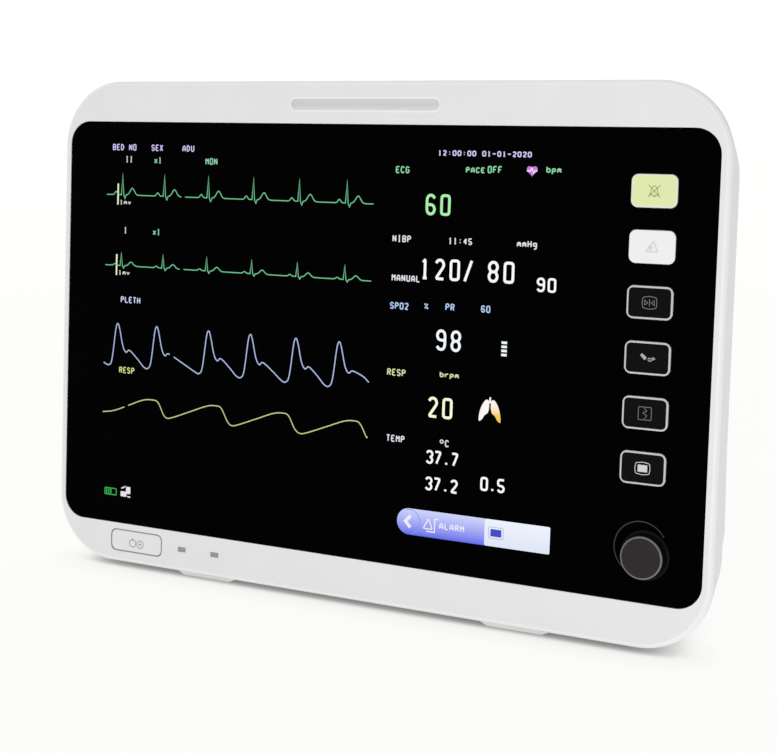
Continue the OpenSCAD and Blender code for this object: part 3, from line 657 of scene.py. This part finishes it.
def pulse_trace():
    """Blood volume: a steep rise, a notch and a slow fall at each beat."""
    peaks = [-134.5, -111, -80.7, -57, -32, -8.9]
    knots = [(TRACE_START, -20)]
    for i, peak in enumerate(peaks):
        knots += [(peak - 4.9, -21), (peak - 3.1, -17.5), (peak - 1.2, -3), (peak, 0), (peak + 1.2, -2.6)]
        knots += [(peak + 3.3, -11), (peak + 5.3, -14), (peak + 7.4, -12.9)]
        fall_end = peaks[i + 1] - 7.5 if i + 1 < len(peaks) else TRACE_END + 5
        middle = (peak + 8.5 + fall_end) / 2
        if i + 1 < len(peaks):
            knots += [(middle, -16.8), (fall_end, -20.4)]
        else:
            knots += [(TRACE_END - 3, -15), (TRACE_END, -17.5)]
    return spline(knots)


def breath_trace():
    """Chest movement: a slow rise to a flat crest, and a quicker fall."""
    knots = [(TRACE_START, -45), (-136, -43.8), (-128.5, -41), (-119, -37.2)]
    knots += [(-113, -36.4), (-109.3, -37.4), (-106.3, -42.6)]
    for trough in (-104, -66.5, -28.5):
        knots += [(trough, -44.6), (trough + 4, -43.8), (trough + 14, -40), (trough + 23, -36.6)]
        knots += [(trough + 28, -35.9), (trough + 31.5, -36.8)]
        if trough + 35 < TRACE_END:
            knots += [(trough + 35, -42.6)]
    return spline(knots + [(TRACE_END, -42.5)])


def point_at(path, x):
    """The point of a trace at x."""
    for a, b in zip(path, path[1:]):
        if a[0] <= x <= b[0]:
            t = (x - a[0]) / (b[0] - a[0])
            return (x, a[1] + (b[1] - a[1]) * t)


def broken(path, gap_start, gap_end):
    """A trace in two parts, either side of the sweep's gap."""
    before = [p for p in path if p[0] < gap_start] + [point_at(path, gap_start)]
    after = [point_at(path, gap_end)] + [p for p in path if p[0] > gap_end]
    return [before, after]


def draw_traces():
    first = broken(heart_trace(64.1, 10.4, 3.4, 1.6), -98.3, -96)
    second = broken(heart_trace(29.0, 6.6, 2.0, 0.8), -98.3, -96)
    lit("heart_traces", [line(part, 0.45) for part in first + second], (112, 200, 148))
    pulse = broken(pulse_trace(), -103, -100.6)
    lit("pulse_trace", [line(part, 0.55) for part in pulse], (172, 188, 228))
    breath = broken(breath_trace(), -129.5, -127.2)
    lit("breath_trace", [line(part, 0.5) for part in breath], (198, 204, 140))
    bars = [line([(x, z), (x, z + 10.4)], 0.9) for x, z in ((-135.9, 59.2), (-136, 24.2))]
    lit("scale_bars", bars, (226, 236, 190))


def draw_left_labels():
    lavender = small("BED NO", -139.6, 86) + small("SEX", -116.4, 86) + small("ADU", -98.2, 86)
    lit("labels_lavender", lavender, (202, 196, 240))
    lit("label_pulse", small("PLETH", -133, 10.6), (206, 212, 250))
    pale = small("II", -131.8, 80.1) + small("I", -132, 45) + small("1mv", -134.8, 59.3, 2.4) + small(
        "1mv", -134.8, 24.4, 2.4)
    lit("labels_white", pale, (206, 208, 200))
    green = small("x1", -114.6, 80) + small("x1", -114.6, 45) + small("MON", -84.8, 80)
    lit("labels_green", green, (140, 205, 170))
    lit("label_breath", small("RESP", -133.2, -24.6), (208, 216, 140))


def draw_readings():
    clock = small("12:00:00 01-01-2020", 38, 86.6, 2.5, 1.9, 2.37)
    lit("clock", clock, (204, 202, 242))
    green = small("ECG", 17.4, 78.4) + small("PACE", 51.8, 79.3, 2.6, 1.9, 2.4) + small("OFF", 62.2, 79.4)
    green += small("bpm", 89.5, 80.2, 2.8)
    lit("reading_labels_green", green, (140, 215, 165))
    lit("heart_rate", large("60", 32.8, 60), (168, 240, 170))
    white = small("NIBP", 16.8, 47.4) + small("11:45", 44.5, 47.6, 3, 1.9, 2.4) + small("mmHg", 77.2, 47.8, 3)
    white += small("MANUAL", 17, 29.7) + small("TEMP", 16.8, -43.5)
    white += [ring(44.6, -40.9, 0.75, 0.45, 12)] + small("C", 46.2, -43.2)
    lit("reading_labels_white", white, (228, 226, 236))
    pressure = large("120", 31.0, 31.3, 9.6, 5, 7.3) + large("/", 52.4, 30.9, 10.4, 4.4)
    pressure += large("80", 64, 31.6, 9.6, 5.1, 7.4) + write("90", 87, 28.8, 6.3, 3.9, 5.1, 1.0)
    pressure += write("37.7", 37, -51.6, 6.3, 3.7, 4.15, 1.0) + write("37.2", 37, -63.7, 6.3, 3.7, 4.15, 1.0)
    pressure += write("0.5", 64, -60.8, 6.3, 3.7, 4.0, 1.0)
    lit("readings_white", pressure, (250, 250, 252))
    blue = small("SPO2", 16.6, 17) + small("%", 33.8, 18, 2.6)
    blue += small("PR", 44.2, 18) + small("60", 61.4, 18.2)
    lit("reading_labels_blue", blue, (178, 204, 242))
    bars = [fill([(71.7, z), (74.3, z), (74.3, z + 1.1), (71.7, z + 1.1)]) for z in (5.1, 3.3, 1.5, -0.3)]
    lit("oxygen", large("98", 40.1, -0.2) + bars, (240, 248, 254))
    yellow = small("RESP", 16.2, -13.3) + small("brpm", 42.5, -12, 2.6)
    lit("reading_labels_yellow", yellow, (214, 222, 168))
    lit("breath_rate", large("20", 37.1, -30.6, 9.5), (250, 252, 214))


def heart_outline(x, z, size):
    points = []
    for i in range(28):
        t = 2 * math.pi * i / 28
        across = 16 * math.sin(t) ** 3
        up = 13 * math.cos(t) - 5 * math.cos(2 * t) - 2 * math.cos(3 * t) - math.cos(4 * t)
        points.append((x + across * size / 16, z + up * size / 16))
    return points


def lung_outline(x, z, side):
    """One lung, its straight edge at the windpipe and its foot swept outwards."""
    knots = [(0.5, 4.2), (1.9, 4.6), (3.5, 2.6), (4.8, -0.8), (5.2, -4.9)]
    knots += [(3.7, -4.3), (2.5, -2.4), (1.0, -1.2), (0.4, 1.2)]
    return [(x + side * px, z + pz) for px, pz in spline(knots + [knots[0]], 4)[:-1]]


def draw_symbols():
    lit("heart_symbol", [fill(heart_outline(83, 81, 2.5))], (206, 120, 226))
    beat = [(80.6, 80.8), (82.2, 80.8), (82.9, 82.2), (83.6, 79.8), (84.2, 80.9), (85.4, 80.9)]
    lit("heart_symbol_beat", [line(beat, 0.5)], (250, 236, 252), lift=0.05)
    left = fill(lung_outline(67.3, -24.7, -1))
    right = fill(lung_outline(67.3, -24.7, 1))
    windpipe = line([(67.3, -18.9), (67.3, -21.6)], 0.8)
    lit("lung_left", [left, windpipe], (253, 246, 242))
    draw("lung_right", [right], glow_gradient("lung_warm", (252, 240, 226), (240, 206, 84), -23, -27))
    cell = [loop(rounded_box(-137, -84.8, 7, 3.2, 0.5), 0.5)]
    cell += [line([(x, -86), (x, -83.6)], 0.7) for x in (-139.45, -138.15, -136.85)]
    lit("battery_symbol", cell, (58, 176, 84))
    plug = [fill(rounded_box(-129, -85.3, 3.6, 2.6, 0.5)), fill(rounded_box(-126.2, -83.2, 2.6, 3.6, 0.4))]
    plug += [line([(-130.4, -82.6), (-127.9, -81.4)], 0.6), line([(-126.6, -86.4), (-124.9, -86.4)], 0.7)]
    lit("supply_symbol", plug, (232, 226, 236))


def draw_alarm_bar():
    top, bottom = -73, -85
    mid = (top + bottom) / 2
    radius = (top - bottom) / 2
    left, split, right = 29.6, 66.8, 97.6
    body = [(split, bottom), (split, top), (left, top)]
    body += arc(left, mid, radius, 90, 270, 16)[1:-1] + [(left, bottom)]
    lavender = glow_gradient("bar_lavender", (208, 213, 251), (100, 110, 234), top, bottom)
    draw("alarm_bar", [fill(body)], lavender)
    end = rounded_box((split + right) / 2, mid, right - split, top - bottom, 0.8)
    white = glow_gradient("bar_white", (238, 242, 252), (222, 230, 248), top, bottom)
    draw("alarm_bar_end", [fill(end)], white)
    rim = [line(arc(left, mid, radius - 0.4, -75, 105, 14), 0.35)]
    lit("alarm_bar_rim", rim, (140, 146, 244), lift=0.05)
    words = [line([(30.4, -76.3), (27.9, -79), (30.4, -81.7)], 1.6)]
    triangle = rounded([(36.9, -81.2), (39.4, -76.6), (41.4, -81.2)], 0.6, closed=True)
    words += [loop(triangle, 0.55)]
    words += [line([(38.4, -82.4), (42.5, -82.4), (42.5, -76.3), (44.3, -76.3)], 0.55)]
    lit("alarm_bar_words", words + small("ALARM", 44.8, -80.6, 3, 2.0, 2.55), (236, 236, 254), lift=0.05)
    lit("alarm_bar_window", [fill(rounded_box(72.3, -78.9, 5.2, 3.3, 0.3))], (66, 78, 190), lift=0.05)
    outline = [loop(rounded_box(72.3, -78.9, 7.0, 5.0, 0.8), 0.35)]
    lit("alarm_bar_window_frame", outline, (176, 186, 226), lift=0.05)


# ---- Keys, knob and button ----


def key_face(node, material, rim=0.85, corner=3.0):
    """The coloured face of a key, inside the pale rim of its cap."""
    flange = 2.4
    low, high = box_of(node)
    x, z = middle_of(node)
    width = high.x - low.x - flange - 2 * rim
    height = high.z - low.z - flange - 2 * rim
    face = fill(rounded_box(x, z, width, height, corner - rim, steps=8))
    draw(node + "_face", [face], material, node, KEY_FACE, lift=0.03)


def bell_icon(x, z):
    outline = [(-2.2, -1.7), (-1.5, -0.9), (-1.3, 1.1), (0, 2.3), (1.3, 1.1), (1.5, -0.9), (2.2, -1.7)]
    shapes = [loop(rounded([(x + px, z + pz) for px, pz in outline], 0.5, closed=True), 0.3)]
    shapes += [line([(x - 0.7, z - 2.3), (x + 0.7, z - 2.3)], 0.35)]
    return shapes


def triangle_icon(x, z):
    corners = [(x - 2.6, z - 2), (x + 2.6, z - 2), (x + 0.6, z + 2.4)]
    outline = rounded(corners, 0.5, closed=True)
    cross = [line([(x - 0.5 - s * 0.8, z - 1.3), (x - 0.5 + s * 0.8, z + 0.3)], 0.25) for s in (-1, 1)]
    return [loop(outline, 0.3)] + cross


def screen_icon(x, z, width=6.4, height=5.2):
    """A picture tube's outline, with bowed sides."""
    w, h = width / 2, height / 2
    knots = [(x - w, z), (x - w + 0.3, z + h - 0.5), (x, z + h), (x + w - 0.3, z + h - 0.5)]
    knots += [(x + w, z), (x + w - 0.3, z - h + 0.5), (x, z - h), (x - w + 0.3, z - h + 0.5)]
    return [loop(rounded(knots, 0.5, closed=True), 0.3)]


def freeze_icon(x, z):
    shapes = screen_icon(x, z, 6.4, 5.4)
    shapes += [line([(x, z - 1.5), (x, z + 1.5)], 0.3)]
    for side in (-1, 1):
        tip = x + side * 0.7
        back = x + side * 2.1
        shapes += [loop([(tip, z), (back, z + 1), (back, z - 1)], 0.28)]
    return shapes


def cuff_icon(x, z):
    tail = spline([(x + 0.2, z - 0.5), (x + 1.2, z - 1.2), (x + 2.2, z - 0.5), (x + 3.4, z - 0.2)], 4)
    tube = spline([(x + 0.4, z + 0.1), (x + 1.6, z - 0.1), (x + 2.6, z + 0.4), (x + 3.4, z - 0.2)], 4)
    corners = [(x - 3.2, z + 1.2), (x - 2.2, z + 2.0), (x - 0.1, z + 0.2), (x - 1.1, z - 0.9)]
    cuff = rounded(corners, 0.4, closed=True)
    return [fill(cuff), line(tail, 0.35), line(tube, 0.35)]


def record_icon(x, z):
    bends = [(-0.4, 2.2), (0.8, 1.1), (-0.8, 0.2), (0.9, -0.9), (-0.2, -2.1)]
    wave = spline([(x + px, z + pz) for px, pz in bends], 4)
    return [loop(rounded_box(x, z, 5.6, 5.4, 0.4), 0.28), line(wave, 0.28)]


def menu_icon(x, z):
    return screen_icon(x, z, 6.6, 5.4) + [fill(rounded_box(x, z, 4.2, 3.0, 0.2))]


def draw_keys():
    soften("alarm_silence_key", 0.35, material=KEY_LIME_EDGE)
    soften("alarm_pause_key", 0.35)
    key_face("alarm_silence_key", KEY_LIME, rim=0.95)
    for node in ("freeze_key", "nibp_key", "record_key", "menu_key"):
        soften(node, 0.35, material=KEY_RIM)
        key_face(node, KEY_DARK)
    icons = [
        ("alarm_silence_key", bell_icon, PRINT_OLIVE), ("alarm_pause_key", triangle_icon, PRINT_GREY),
        ("freeze_key", freeze_icon, PRINT_FAINT), ("nibp_key", cuff_icon, PRINT_PALE),
        ("record_key", record_icon, PRINT_FAINT), ("menu_key", menu_icon, PRINT_BRIGHT),
    ]
    for node, icon, material in icons:
        x, z = middle_of(node)
        draw(node + "_icon", icon(x, z), material, node, KEY_FACE, lift=0.06)
    x, z = middle_of("alarm_silence_key")
    cross = [line([(x - s * 2.6, z - 2.6), (x + s * 2.6, z + 2.6)], 0.25) for s in (-1, 1)]
    body = "alarm_silence_key"
    draw(body + "_cross", cross, PRINT_OLIVE, body, KEY_FACE, lift=0.08)


# How far the knob's grip widens from its face to its skirt
GRIP_FLARE = 0.6


def knob_side(face_r, front, back):
    """Profile of the knob's grip from its dished face to the back, without the skirt."""
    wide = face_r + GRIP_FLARE
    dish = [(0, 0.48), (face_r * 0.5, 0.42), (face_r - 2.2, 0.25), (face_r - 1.2, 0.03)]
    lip = [(face_r - 0.8, 0), (face_r - 0.35, 0.2), (face_r - 0.05, 0.55), (face_r + 0.1, 1.0)]
    side = [(wide, back - 1.6), (wide, back - 0.2), (0, back - 0.2)]
    return [(radius, front + depth) for radius, depth in dish + lip] + side


def rib_grip(bm, inner, front, back, depth=0.012, ribs=48):
    """Fine ribs round the side of a turned piece, between two depths."""
    for vert in bm.verts:
        if front <= vert.co.y <= back and math.hypot(vert.co.x, vert.co.z) > inner:
            swing = math.atan2(vert.co.z, vert.co.x)
            shrink = 1 - depth * (1 - math.cos(swing * ribs))
            vert.co.x *= shrink
            vert.co.z *= shrink


def build_knob():
    """Turned knob: a ribbed grip with a painted highlight on its rim and a shallow dished face, on a dark skirt.
    """
    skirt_width = 1.5
    low, high = box_of("selector_knob")
    skirt_r = (high.x - low.x) / 2
    front, back = low.y, high.y
    face_r = skirt_r - skirt_width
    x, z = middle_of("selector_knob")
    grip = lathe(knob_side(face_r, front, back), 144)
    rib_grip(grip, face_r, front + 0.9, back - 1.5)
    move_to(FRONT, grip, x, z)
    knob = piece_from(grip, "selector_knob_grip", KNOB, "knob", smooth=35)
    knob.data.materials.append(KNOB_RIM_HIGHLIGHT)
    knob.data.materials.append(KNOB_SKIRT)
    # Faces by their tilt: the flat face keeps the knob's colour, the bevelled rim takes the lighter copy as a
    # painted highlight, and the steep sides take the skirt's near-black.
    into = FRONT.to_3x3() @ Vector((0, 1, 0))
    steep, level = 0.3, 0.94
    for polygon in knob.data.polygons:
        facing = polygon.normal.dot(-into)
        polygon.material_index = 2 if facing <= steep else 1 if facing < level else 0
    profile = [(0, back), (skirt_r - 0.3, back), (skirt_r, back - 0.35), (skirt_r - 0.25, back - 0.65)]
    profile += [(skirt_r - 0.5, back - 0.85), (face_r + GRIP_FLARE, back - 1.0), (0, back - 1.0)]
    piece_from(move_to(FRONT, lathe(profile, 144), x, z), "selector_knob_skirt", KNOB_SKIRT, "knob")
    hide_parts("selector_knob")
    # A grey ridge drawn only along the upper arc round the knob: painted highlight on the edge of its recess.
    highlight_arc = arc(x - 2.4, z + 2.5, 11.5, 31, 236, 60)
    bead("knob_arc_painted_highlight", highlight_arc, 0.5, 0.22, KNOB_ARC_HIGHLIGHT, "housing", PANEL_FACE, closed=False, steps=4)


def draw_power_icon():
    """The button's faint symbol, and a grey ring drawn in the gap round it as painted shade."""
    x, z = middle_of("power_button")
    low, high = box_of("power_button")
    # A grey ring laid in the gap round the button: painted shade in the gap.
    gap_ring = rounded_box(x, z, high.x - low.x - 1.7, high.z - low.z - 0.9, 3.1, steps=8)
    gap_ring = loop(gap_ring, 0.55)
    draw("power_button_gap_shade", [gap_ring], GAP_SHADE, "housing", BEZEL_FACE, sink=0.3)
    shapes = [ring(x - 2.2, z - 0.8, 1.9, 0.4), line([(x - 2.2, z + 1.8), (x - 2.2, z + 0.4)], 0.45)]
    shapes += [ring(x + 2.3, z - 0.9, 1.9, 0.4)]
    shapes += [line([(x + 1.3, z - 0.9), (x + 3.3, z - 0.9)], 0.35)]
    shapes += [line([(x + 2.3, z - 1.9), (x + 2.3, z + 0.1)], 0.35)]
    draw("power_button_icon", shapes, PRINT_DARK, "power_button", BEZEL_FACE)


def build_alarm_lamp():
    """Milky lamp strip: a shallow trough inside a low rounded rim."""
    low, high = box_of("alarm_lens")
    flange = 4
    lip, trough = 0.15, 0.95
    width, height = high.x - low.x - flange, high.z - low.z - flange
    x, z = middle_of("alarm_lens")
    rings = 7
    bm = bmesh.new()
    loops = []
    for i in range(rings + 1):
        t = i / rings
        depth = BEZEL_FACE + lip + trough * math.sin(t * math.pi / 2) ** 1.5
        inset = t * (height - 0.3)
        outline = pill_path(x, z + 0.3 * t, width - inset, height - inset)
        loops.append([bm.verts.new((p.x, depth, p.y)) for p in outline])
    back = [bm.verts.new((v.co.x, high.y, v.co.z)) for v in loops[0]]
    bm.faces.new(loops[-1])
    bm.faces.new(back)
    for a, b in zip([back] + loops, loops):
        join_rings(bm, a, b)
    move_to(FRONT, bm)
    stand_in("alarm_lens", bm, smooth=60)
    # The low rim takes the lighter copy of the shell: painted highlight.
    rim = pill_path(x, z + 0.15, width + 0.9, height + 0.9)
    bead("alarm_rim", rim, 1.0, 0.18, SHELL_HIGHLIGHT, "housing", BEZEL_FACE)


# ---- Housing, doors, sockets and handle ----

POD_CORNER = 14
TRAY_CORNER = 40


def on_outline(point, low, high, radius):
    """Whether a point lies on the edge of a rounded rectangle in x and z."""
    x = min(max(point.x, low[0] + radius), high[0] - radius)
    z = min(max(point.z, low[1] + radius), high[1] - radius)
    return abs(math.hypot(point.x - x, point.z - z) - radius) < 0.1 * MM


def rim_edges(bm, depth, radius):
    """The outer edge of the housing's flat back face at a depth."""
    level = [v for v in bm.verts if abs(v.co.y - depth) < 0.01 * MM]
    low = (min(v.co.x for v in level), min(v.co.z for v in level))
    high = (max(v.co.x for v in level), max(v.co.z for v in level))
    rim = {v for v in level if on_outline(v.co, low, high, radius * MM)}
    return [e for e in sharp_edges(bm, 50) if set(e.verts) <= rim]


def build_housing():
    """Rear housing with rounded rims on the deep pod and on the shallow tray."""
    bm = clean_copy("rear_housing")
    pod_back = max(v.co.y for v in bm.verts)
    pod_side = box_of("connector_panel", UPRIGHT)[0].x * MM
    tray_back = max(v.co.y for v in bm.verts if v.co.x < pod_side - 2 * MM)
    for depth, corner in ((pod_back, POD_CORNER), (tray_back, TRAY_CORNER)):
        bevel(bm, rim_edges(bm, depth, corner), 4, 5)
    stand_in("rear_housing", bm)


def build_door_grips():
    """Finger ridges on the battery door, and a release tab on the recorder door."""
    low, high = box_of("battery_door", RIGHT_SIDE)
    middle = (low.x + high.x) / 2
    places = [middle + 3 * i for i in range(-4, 5)]
    ridges = [line([(x, high.z - 9), (x, high.z - 3)], 1.1) for x in places]
    draw("battery_door_ridges", ridges, SHELL, "battery_door", low.y, 0.5, 0.2, RIGHT_SIDE)
    low, high = box_of("recorder_door", RIGHT_SIDE)
    middle = (low.x + high.x) / 2
    tab_z = high.z - 12
    tab = [fill(rounded_box(middle, tab_z, 22, 7, 2.5))]
    draw("recorder_door_tab", tab, GREY, "recorder_door", low.y, 0.8, 0.3, RIGHT_SIDE)
    ridges = [line([(middle - 7, z), (middle + 7, z)], 0.5) for z in (tab_z - 1.6, tab_z, tab_z + 1.6)]
    tab_face = low.y - 0.8
    draw("recorder_door_tab_ridges", ridges, GREY, "recorder_door", tab_face, 0.3, 0.1, RIGHT_SIDE)


def build_socket_marks():
    """Printed rings and plain symbols round the patient sockets."""
    face = box_of("connector_panel", LEFT_SIDE)[0].y
    marks = [("ecg_socket", 16, GREEN), ("spo2_socket", 13.5, BLUE), ("nibp_fitting", 11.5, PRINT_DARK)]
    for node, radius, material in marks:
        x, z = middle_of(node, LEFT_SIDE)
        shapes = [ring(x, z, radius, 1.0, 40)]
        draw(node + "_ring", shapes, material, "housing", face, space=LEFT_SIDE)
    x, z = middle_of("ecg_socket", LEFT_SIDE)
    symbols = [loop(heart_outline(x + 13.5, z + 17, 3), 0.6)]
    x, z = middle_of("spo2_socket", LEFT_SIDE)
    drop = [(x - 12, z + 20), (x - 14, z + 16.5), (x - 12, z + 14.4), (x - 10, z + 16.5)]
    symbols += [loop(rounded(drop, 1.2, closed=True), 0.6)]
    x, z = middle_of("nibp_fitting", LEFT_SIDE)
    symbols += cuff_icon(x + 4, z - 17)
    x, z = middle_of("temp_jacks", LEFT_SIDE)
    stem = [(x - 0.7, z), (x - 0.7, z + 4), (x + 0.7, z + 4), (x + 0.7, z)]
    symbols += [ring(x, z - 1.6, 1.4, 0.6, 16), line(stem, 0.5)]
    draw("socket_symbols", symbols, PRINT_FAINT, "housing", face, space=LEFT_SIDE)


def build_contacts():
    """Metal pins and contacts inside the sockets at the back."""
    x, z = middle_of("ac_inlet", BACK)
    face = box_of("ac_inlet", BACK)[0].y
    pins = [fill(rounded_box(x + i * 4.5, z + 1, 1.9, 3.9, 0.4)) for i in (-1, 0, 1)]
    draw("inlet_pins", pins, STEEL, "housing", face + 4, 0, 9, BACK)
    x, z = middle_of("network_jack", BACK)
    face = box_of("network_jack", BACK)[0].y
    wires = [fill(rounded_box(x + (i - 3.5) * 1.02, z + 2.6, 0.4, 1.2, 0.1)) for i in range(8)]
    draw("network_contacts", wires, BRASS, "housing", face + 3, 0, 9, BACK)
    x, z = middle_of("usb_jacks", BACK)
    face = box_of("usb_jacks", BACK)[0].y
    for index, rise in enumerate((-3.8, 3.8)):
        tongue = [fill(rounded_box(x, z + rise + 1, 10.6, 1.4, 0.2))]
        draw("usb_tongue_%d" % (index + 1), tongue, BLUE, "housing", face + 1, 0, 9.5, BACK)
        pads = [fill(rounded_box(x + (i - 1.5) * 2.3, z + rise + 0.2, 1.0, 0.2, 0.05)) for i in range(4)]
        draw("usb_contacts_%d" % (index + 1), pads, BRASS, "housing", face + 1.6, 0, 7, BACK)
    x, z = middle_of("video_jack", BACK)
    face = box_of("video_jack", BACK)[0].y
    corners = [(x - 7.4, z + 3.2), (x + 7.4, z + 3.2), (x + 6.4, z - 3.2), (x - 6.4, z - 3.2)]
    block = fill(rounded(corners, 1.2, closed=True))
    draw("video_insert", [block], BLUE, "housing", face + 2.5, 0, 4, BACK)
    spots = [(x + (i - 2) * 2.3 - (j % 2) * 0.8, z + (j - 1) * 1.9) for i in range(5) for j in range(3)]
    holes = [disc(across, up, 0.45, 10) for across, up in spots]
    draw("video_contacts", holes, BLACK, "housing", face + 2.5, 0.04, 0.2, BACK)


def build_grip():
    """Rubber sleeve with fine grooves over the middle of the handle's bar."""
    low, high = box_of("carry_handle", UPRIGHT)
    bar_r = 7.5
    bare_end = 22
    grooves = 38
    reach = (high.x - low.x) / 2 - bare_end
    profile = [(0, -reach), (bar_r - 0.2, -reach), (bar_r + 0.7, -reach + 0.8)]
    for i in range(grooves + 1):
        along = -reach + 3 + (2 * reach - 6) * i / grooves
        profile += [(bar_r + 0.9, along - 0.9), (bar_r + 0.9, along + 0.7), (bar_r + 0.45, along + 0.9)]
    profile += [(bar_r + 0.7, reach - 0.8), (bar_r - 0.2, reach), (0, reach)]
    bm = lathe(profile, 48)
    middle = Matrix.Translation(Vector((0, high.y - bar_r, (low.z + high.z) / 2)) * MM)
    move_to(middle @ LEFT_SIDE, bm)
    piece_from(bm, "handle_sleeve", RUBBER, "carry_handle", smooth=50)


def build_bezel():
    """The bezel, with a painted highlight on the rounding round its front edge: a lighter copy of the shell."""
    bezel = soften("front_bezel", 0.4)
    bezel.data.materials.append(SHELL_HIGHLIGHT)
    # Faces of the front rounding near the outline take the lighter copy of the shell: painted highlight.
    band_width, band_depth, corner_reach = 3.5, 3.2, 180
    low, high = box_of("front_bezel")
    inner_x, inner_z = (high.x - low.x) / 2 - band_width, (high.z - low.z) / 2 - band_width
    flat = FRONT.inverted()
    for polygon in bezel.data.polygons:
        place = flat @ polygon.center / MM
        facing = -(flat.to_3x3() @ polygon.normal).y
        at_edge = abs(place.x) > inner_x or abs(place.z) > inner_z
        at_corner = math.hypot(place.x, place.z) > corner_reach
        rounding = 0.2 < facing < 0.97 and place.y < BEZEL_FACE + band_depth
        if rounding and (at_edge or at_corner):
            polygon.material_index = 1


def soften_nodes():
    soften("front_panel", 0.15)
    soften("power_button", 0.45, 3)
    soften("led_windows", 0.3, material=LED)
    soften("front_feet", 0.5)
    soften("rear_feet", 1.0, 3)
    soften("battery_door", 0.4)
    soften("recorder_door", 0.4)
    soften("carry_handle", 2.0, 4)
    soften("connector_panel", 0.3)
    soften("ac_inlet", 0.3)


# ---- Staging ----


def build_floor():
    """A white table top that glows, with painted shadow where the object comes close to it, fading into the
    backdrop.
    """
    bpy.ops.mesh.primitive_plane_add(size=12, location=(0, 0, 0))
    floor = bpy.context.active_object
    floor.name = "floor"
    paint, nodes, shader = new_material("floor")
    shader.inputs["Base Color"].default_value = (0.06, 0.06, 0.06, 1.0)
    shader.inputs["Roughness"].default_value = 0.8
    shader.inputs["Specular IOR Level"].default_value = 0.0
    # Painted shadow: the floor's glow darkens where ambient occlusion finds the object close.
    near = nodes.new("ShaderNodeAmbientOcclusion")
    near.inputs["Distance"].default_value = 0.02
    under, open_floor = (0.15, 0.15, 0.15, 1), (0.93, 0.93, 0.915, 1)
    edge, close = (0.55, 0.55, 0.54, 1), (0.86, 0.86, 0.85, 1)
    ramp = color_ramp(nodes, (0, under), (1, open_floor), (0.35, edge), (0.6, close))
    place = nodes.new("ShaderNodeTexCoord")
    length = nodes.new("ShaderNodeVectorMath")
    length.operation = "LENGTH"
    away = map_range(nodes, (0.5, 2.5))
    mix = nodes.new("ShaderNodeMix")
    mix.data_type = "RGBA"
    mix.inputs["B"].default_value = (0.97, 0.97, 0.945, 1)
    wire(place, "Object", length, 0)
    wire(length, "Value", away, "Value")
    wire(near, "AO", ramp, "Fac")
    wire(away, "Result", mix, "Factor")
    wire(ramp, "Color", mix, "A")
    wire(mix, "Result", shader, "Emission Color")
    shader.inputs["Emission Strength"].default_value = 1.0
    floor.data.materials.append(paint)


def build_world():
    """Even white surroundings, a little dimmer and cooler on the object's right."""
    world = bpy.data.worlds.new("studio")
    bpy.context.scene.world = world
    world.use_nodes = True
    nodes = world.node_tree.nodes
    place = nodes.new("ShaderNodeTexCoord")
    split = nodes.new("ShaderNodeSeparateXYZ")
    ramp = color_ramp(nodes, (0.45, (1.0, 1.0, 0.99, 1)), (1.0, (0.32, 0.34, 0.46, 1)))
    half = map_range(nodes, (-1, 1))
    path = nodes.new("ShaderNodeLightPath")
    mix = nodes.new("ShaderNodeMix")
    mix.data_type = "RGBA"
    mix.inputs["B"].default_value = (1.08, 1.08, 1.035, 1)
    background = nodes["Background"]
    wire(place, "Generated", split, "Vector")
    wire(split, "X", half, "Value")
    wire(half, "Result", ramp, "Fac")
    wire(path, "Is Camera Ray", mix, "Factor")
    wire(ramp, "Color", mix, "A")
    wire(mix, "Result", background, "Color")
    background.inputs["Strength"].default_value = 0.97


def build_lights():
    """One weak soft light, low in front of the object's right side."""
    data = bpy.data.lights.new("right_front", "AREA")
    data.size = 0.3
    data.energy = 1.15
    light = add_object("right_front", data)
    light.location = (0.55, -0.50, 0.0)
    aim = Vector((0, 0, 0.10))
    light.rotation_euler = (light.location - aim).to_track_quat("Z", "Y").to_euler()


def place_camera():
    """The photograph's viewpoint: to the right of the front and a little above it."""
    azimuth, elevation = math.radians(26.71), math.radians(7.41)
    target = Vector((-11.9, 0, 139.5)) * MM
    distance = 751.5 * MM
    level = Vector((math.sin(azimuth), -math.cos(azimuth), 0)) * math.cos(elevation)
    towards = level + Vector((0, 0, math.sin(elevation)))
    data = bpy.data.cameras.new("camera")
    data.sensor_width = 36
    data.lens = 70.5
    data.shift_y = -0.111
    data.clip_start = 0.01
    camera = add_object("camera", data)
    camera.location = target + towards * distance
    camera.rotation_euler = towards.to_track_quat("Z", "Y").to_euler()
    bpy.context.scene.camera = camera


dress_nodes()
place_camera()
build_world()
build_lights()
build_floor()
draw_traces()
draw_left_labels()
draw_readings()
draw_symbols()
draw_alarm_bar()
draw_keys()
draw_power_icon()
build_knob()
build_alarm_lamp()
build_bezel()
soften_nodes()
build_housing()
build_door_grips()
build_socket_marks()
build_contacts()
build_grip()
bpy.context.scene.view_settings.view_transform = "Standard"
